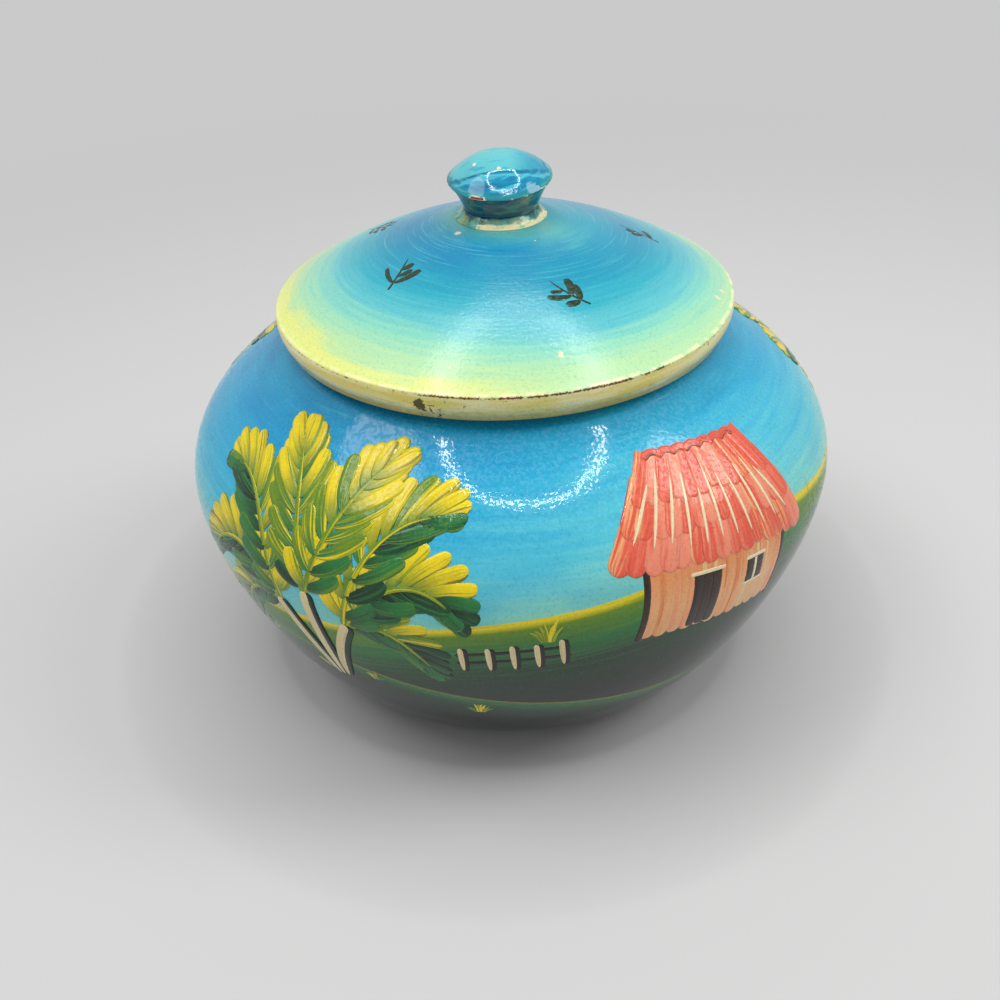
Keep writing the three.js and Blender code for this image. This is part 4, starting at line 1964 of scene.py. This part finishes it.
@dataclass(frozen=True)
class Fence:
    """Rails on short posts.

    Attributes:
        posts: Number of posts.
        gap: Distance between them.
        height: Their height.
    """

    posts: int = 5
    gap: float = 3.6
    height: float = 5.2

    def draw(self, chance: random.Random) -> list[Stroke]:
        """Draws the fence.

        Args:
            chance: Source of its small irregularities.

        Returns:
            Its strokes.
        """
        dark = Load(Paints.INK, Paints.BARK)
        pale = Load(Paints.CREAM, Paints.IVORY)
        end = (self.posts - 1) * self.gap
        drawn = []
        for level in (0.38, 0.74):
            y = self.height * level
            rail = ((-1.0, y - 0.2), (end / 2, y + 0.5), (end + 1.0, y))
            drawn.append(Stroke(rail, 0.7, dark, (Tip.ROUND, Tip.ROUND), 0))
        for i in range(self.posts):
            x = i * self.gap + chance.uniform(-0.2, 0.2)
            top = self.height + chance.uniform(-0.3, 0.4)
            shade, post = ((x + 0.4, top), (x + 0.3, -0.5)), ((x, top), (x - 0.1, 0.0))
            drawn.append(Stroke(shade, 1.3, dark, (Tip.ROUND, Tip.POINTED), 2))
            drawn.append(Stroke(post, 0.9, pale, (Tip.ROUND, Tip.POINTED), 4))
        return drawn


@dataclass(frozen=True)
class Sprig:
    """A small dark sprig of leaves.

    Attributes:
        length: Length of its stalk.
        pairs: Pairs of leaves on it.
    """

    length: float = 6.5
    pairs: int = 3

    def draw(self, chance: random.Random) -> list[Stroke]:
        """Draws the sprig.

        Args:
            chance: Source of its small irregularities.

        Returns:
            Its strokes.
        """
        dark = Load(Paints.BOTTLE, Paints.INK)
        bend = chance.uniform(-0.9, 0.9)
        stalk = ((0.0, 0.0), (bend, self.length * 0.5), (0.2, self.length))
        drawn = [Stroke(stalk, 0.42, dark, (Tip.ROUND, Tip.POINTED))]
        for i in range(self.pairs):
            y = self.length * (0.22 + 0.62 * i / self.pairs)
            for side in (-1, 1):
                if chance.random() < 0.15:
                    continue
                reach = (2.6 - 0.5 * i) * chance.uniform(0.7, 1.2)
                rise = reach * chance.uniform(0.5, 1.1)
                middle = (side * reach * 0.6 + bend * 0.6, y + rise * 0.3)
                line = ((bend * 0.6, y), middle, (side * reach + bend * 0.6, y + rise))
                width = chance.uniform(0.75, 1.25)
                drawn.append(Stroke(line, width, dark, (Tip.POINTED, Tip.ROUND), 2 + i))
        return drawn


@dataclass
class Painting:
    """The painted country scene: clumps, huts, fences and grass round the pot.

    Attributes:
        pot: Pot that it is painted on.
        tree: Geometry tree that lays strokes.
        seed: Seed of its small irregularities.
        scratches: Angle in degrees, height and line of each hairline scratch, in mm.
    """

    pot: Pot
    tree: Tree
    seed: int = 11
    scratches: tuple[tuple[float, float, tuple[Point, ...]], ...] = (
        (-33.0, 38.0, ((0.4, 0.0), (0.0, 4.0), (0.6, 9.0))),
        (150.0, 40.0, ((0.0, 0.0), (-1.0, 6.0), (-0.6, 11.0))),
    )

    def foot(self, angle: float, ridge: Ridge, below: float) -> float:
        """Length up the wall to a height under a ridge.

        Args:
            angle: Angle about the axis, in degrees.
            ridge: The ridge.
            below: Distance under it, in mm.

        Returns:
            The length, in mm.
        """
        height = ridge.at(math.radians(angle)) - below
        return self.pot.wall().length_at(height * MM) / MM

    def build(self, material: bpy.types.Material) -> None:
        """Paints every motif.

        Args:
            material: Paint of the strokes.
        """
        chance = random.Random(self.seed)
        wall = self.pot.wall()
        plan = {
            "leaf_clumps": (
                (LeafClump(), -122.0, FAR_RIDGE, 14.0, 0.98, False, 6.0),
                (LeafClump(), 26.0, FAR_RIDGE, 15.0, 0.95, True, 0.0),
                (LeafClump(), 140.0, FAR_RIDGE, 11.0, 1.0, False, 0.0),
            ),
            "huts": (
                (Hut(), -58.0, FAR_RIDGE, 12.0, 1.1, False, -8.0),
                (Hut(), 84.0, FAR_RIDGE, 7.0, 1.0, True, 0.0),
            ),
            "fences": (
                (Fence(), -98.0, FAR_RIDGE, 9.0, 1.0, False, 4.0),
                (Fence(posts=6), 48.0, FAR_RIDGE, 7.0, 1.0, False, 0.0),
                (Fence(posts=4), 178.0, FAR_RIDGE, 7.0, 1.0, True, 0.0),
            ),
        }
        for name, motifs in plan.items():
            work = Brushwork(f"painted_{name}", wall, "pot", "painted_pot", self.pot.stray)
            for motif, angle, ridge, below, scale, mirrored, tilt in motifs:
                foot = self.foot(angle, ridge, below)
                work.add(Spot(angle, foot, scale, 4, mirrored, tilt), motif.draw(chance))
            work.build(self.tree, material)
        grass = Brushwork("painted_grass", wall, "pot", "painted_pot", self.pot.stray)
        tufts = 34
        huts = [math.radians(motif[1]) for motif in plan["huts"]]
        for i in range(tufts):
            angle = 360 * (i + chance.uniform(-0.3, 0.3)) / tufts
            ridge = chance.choice((NEAR_RIDGE, FAR_RIDGE))
            foot = self.foot(angle, ridge, chance.uniform(2.5, 6.0))
            near = max(math.cos(math.radians(angle) - hut) for hut in huts)
            if near < math.cos(math.radians(21)):
                grass.add(Spot(angle, foot, chance.uniform(0.5, 0.9)), Tuft().draw(chance))
        grass.build(self.tree, material)
        scratches = Brushwork("scratches", wall, "pot", "painted_pot", self.pot.stray)
        hairline = Load(Paints.KHAKI, Paints.CREAM)
        pointed = (Tip.POINTED, Tip.POINTED)
        for angle, height, line in self.scratches:
            foot = wall.length_at(height * MM) / MM
            scratches.add(Spot(angle, foot, 1.0, 3), [Stroke(line, 0.11, hairline, pointed)])
        scratches.build(self.tree, material)


@dataclass
class LidSprigs:
    """Small dark sprigs on the top of the lid.

    Attributes:
        lid: Lid that they are painted on.
        tree: Geometry tree that lays strokes.
        angles: Angle of each, in degrees.
        inward: Length from the lid's edge to their feet, in mm.
    """

    lid: Lid
    tree: Tree
    angles: tuple[float, ...] = (-138.0, -60.0, 2.0, 84.0, 152.0)
    inward: float = 14.0

    def build(self, material: bpy.types.Material) -> None:
        """Paints the sprigs.

        Args:
            material: Paint of the strokes.
        """
        chance = random.Random(5)
        work = Brushwork("lid_sprigs", self.lid.top(), "lid", "painted_lid", self.lid.stray)
        for angle in self.angles:
            inward = self.inward + chance.uniform(-2.0, 2.0)
            tilt = chance.uniform(-50.0, 50.0)
            work.add(Spot(angle, inward, 1.1, 0, False, tilt), Sprig().draw(chance))
        work.build(self.tree, material)


@dataclass
class Studio:
    """Pale floor, soft lamps and the camera.

    Attributes:
        eye: Place of the camera.
        right: Direction to the right of the picture.
        up: Direction to the top of the picture.
        ahead: Direction that the camera looks in.
        lens: Its lens, for a sensor 36 mm wide.
        floor_radius: Radius of the floor.
        pale: Level of the floor and of the background.
        glow: Level of the light from all round.
    """

    eye: tuple[float, float, float] = (0.0, -0.16155, 0.13776)
    right: tuple[float, float, float] = (0.99922, -0.01244, -0.03736)
    up: tuple[float, float, float] = (0.03772, 0.57494, 0.81733)
    ahead: tuple[float, float, float] = (-0.01131, 0.81810, -0.57496)
    lens: float = 37.8
    floor_radius: float = 4.0
    pale: float = 0.62
    glow: float = 0.42

    def camera(self) -> None:
        """Places the camera."""
        data = bpy.data.cameras.new("camera")
        data.lens = self.lens
        data.sensor_width = 36.0
        data.clip_start = 0.01
        camera = bpy.data.objects.new("camera", data)
        axes = zip(self.right, self.up, (-value for value in self.ahead))
        turn = Matrix([list(row) for row in axes]).to_4x4()
        camera.matrix_world = Matrix.Translation(self.eye) @ turn
        bpy.context.scene.collection.objects.link(camera)
        bpy.context.scene.camera = camera

    def floor(self) -> None:
        """Lays the floor."""
        material, tree = Tree.of_material("floor")
        place = Place(tree)
        grey = (self.pale, self.pale, self.pale)
        lit = tree.node("ShaderNodeBsdfDiffuse", inputs={"Color": grey})
        plain = tree.node("ShaderNodeEmission", inputs={"Color": grey, "Strength": 0.95})
        share = tree.smooth(place.radius, 90.0, 420.0) * self.seen(tree)
        shader = tree.node("ShaderNodeMixShader", inputs={0: share, 1: lit, 2: plain})
        tree.node("ShaderNodeOutputMaterial", inputs={"Surface": shader})
        turns = np.linspace(0, math.tau, 64, endpoint=False)
        rim = [(self.floor_radius * math.cos(a), self.floor_radius * math.sin(a), 0) for a in turns]
        mesh = bpy.data.meshes.new("floor")
        mesh.from_pydata(rim, [], [list(range(len(rim)))])
        mesh.materials.append(material)
        floor = bpy.data.objects.new("floor", mesh)
        bpy.context.scene.collection.objects.link(floor)

    @staticmethod
    def seen(tree: Tree) -> Value:
        """Whether a ray of light comes from the camera, or by way of gloss or glass."""
        rays = tree.node("ShaderNodeLightPath", output="Is Camera Ray")
        seen = tree.maths("MAXIMUM", rays, rays.twin("Is Glossy Ray"))
        return tree.maths("MAXIMUM", seen, rays.twin("Is Transmission Ray"))

    def background(self) -> None:
        """Lights the scene from all round and shows a pale background."""
        world = bpy.data.worlds.new("studio")
        world.use_nodes = True
        bpy.context.scene.world = world
        tree = Tree(world.node_tree)
        level = self.glow + (self.pale * 0.95 - self.glow) * self.seen(tree)
        sockets = {"Color": (1.0, 1.0, 1.0), "Strength": level}
        light = tree.node("ShaderNodeBackground", inputs=sockets)
        tree.node("ShaderNodeOutputWorld", inputs={"Surface": light})

    def lamp(self, name: str, place: Vector, size: Point, power: float) -> None:
        """Hangs a soft oval lamp that faces the box.

        Args:
            name: Name of the lamp.
            place: Where it hangs.
            size: Its width and height.
            power: Its power in watts.
        """
        data = bpy.data.lights.new(name, "AREA")
        data.shape = "ELLIPSE"
        data.size, data.size_y = size
        data.energy = power
        lamp = bpy.data.objects.new(name, data)
        lamp.visible_camera = False
        aim = Vector((0.0, 0.0, 0.045)) - place
        turn = aim.to_track_quat("-Z", "Y").to_matrix().to_4x4()
        lamp.matrix_world = Matrix.Translation(place) @ turn
        bpy.context.scene.collection.objects.link(lamp)

    def ring(self, middle: Vector, radius: float, lamps: int, power: float) -> None:
        """Hangs a ring of small lamps.

        Args:
            middle: Middle of the ring.
            radius: Its radius.
            lamps: Number of its lamps.
            power: Power of them all, in watts.
        """
        size = 1.9 * math.pi * radius / lamps
        for i in range(lamps):
            turn = math.tau * i / lamps
            offset = Vector((math.cos(turn), math.sin(turn), 0.0)) * radius
            self.lamp(f"ring {i}", middle + offset, (size * 0.9, size * 0.9), power / lamps)

    def build(self) -> None:
        """Sets up the studio."""
        scene = bpy.context.scene
        scene.view_settings.view_transform = "Standard"
        self.camera()
        self.floor()
        self.background()
        self.lamp("left", Vector((-0.47, -0.08, 0.76)), (0.54, 0.32), 1.6)
        self.lamp("right", Vector((0.62, -0.04, 0.60)), (0.30, 0.44), 1.9)
        self.ring(Vector((0.0285, -0.034, 0.557)), 0.19, 40, 1.5)
        LOG.info("studio ready")


def main() -> None:
    """Builds the trinket box round its frame."""
    logging.basicConfig(level=logging.INFO, format="%(name)s: %(message)s")
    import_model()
    Studio().build()
    turner = turned_tree()
    liner = stroke_tree()
    pot = Pot("pot_body", "pot", "painted_pot", turner)
    pot.build(PotPaint().make())
    lid = Lid("lid", "lid", "painted_lid", turner, stray=0.15 * MM)
    arris, arris_run = lid.marks()
    lid.build(LidPaint(arris, arris_run).make())
    knob = Knob("lid_knob", "lid", "painted_knob", turner, 120, 0.4 * MM, 0.08 * MM, 0.25 * MM)
    knob.lean = (8.0, 1.4)
    knob.build(KnobPaint(knob.edge_run()).make())
    collar = Collar("knob_collar", "lid", "slip", turner, 96, 0.2 * MM, 0.08 * MM, 0.5 * MM)
    collar.build(SlipPaint().make())
    brush = BrushPaint().make()
    Painting(pot, liner).build(brush)
    LidSprigs(lid, liner).build(brush)


if __name__ == "__main__":
    main()
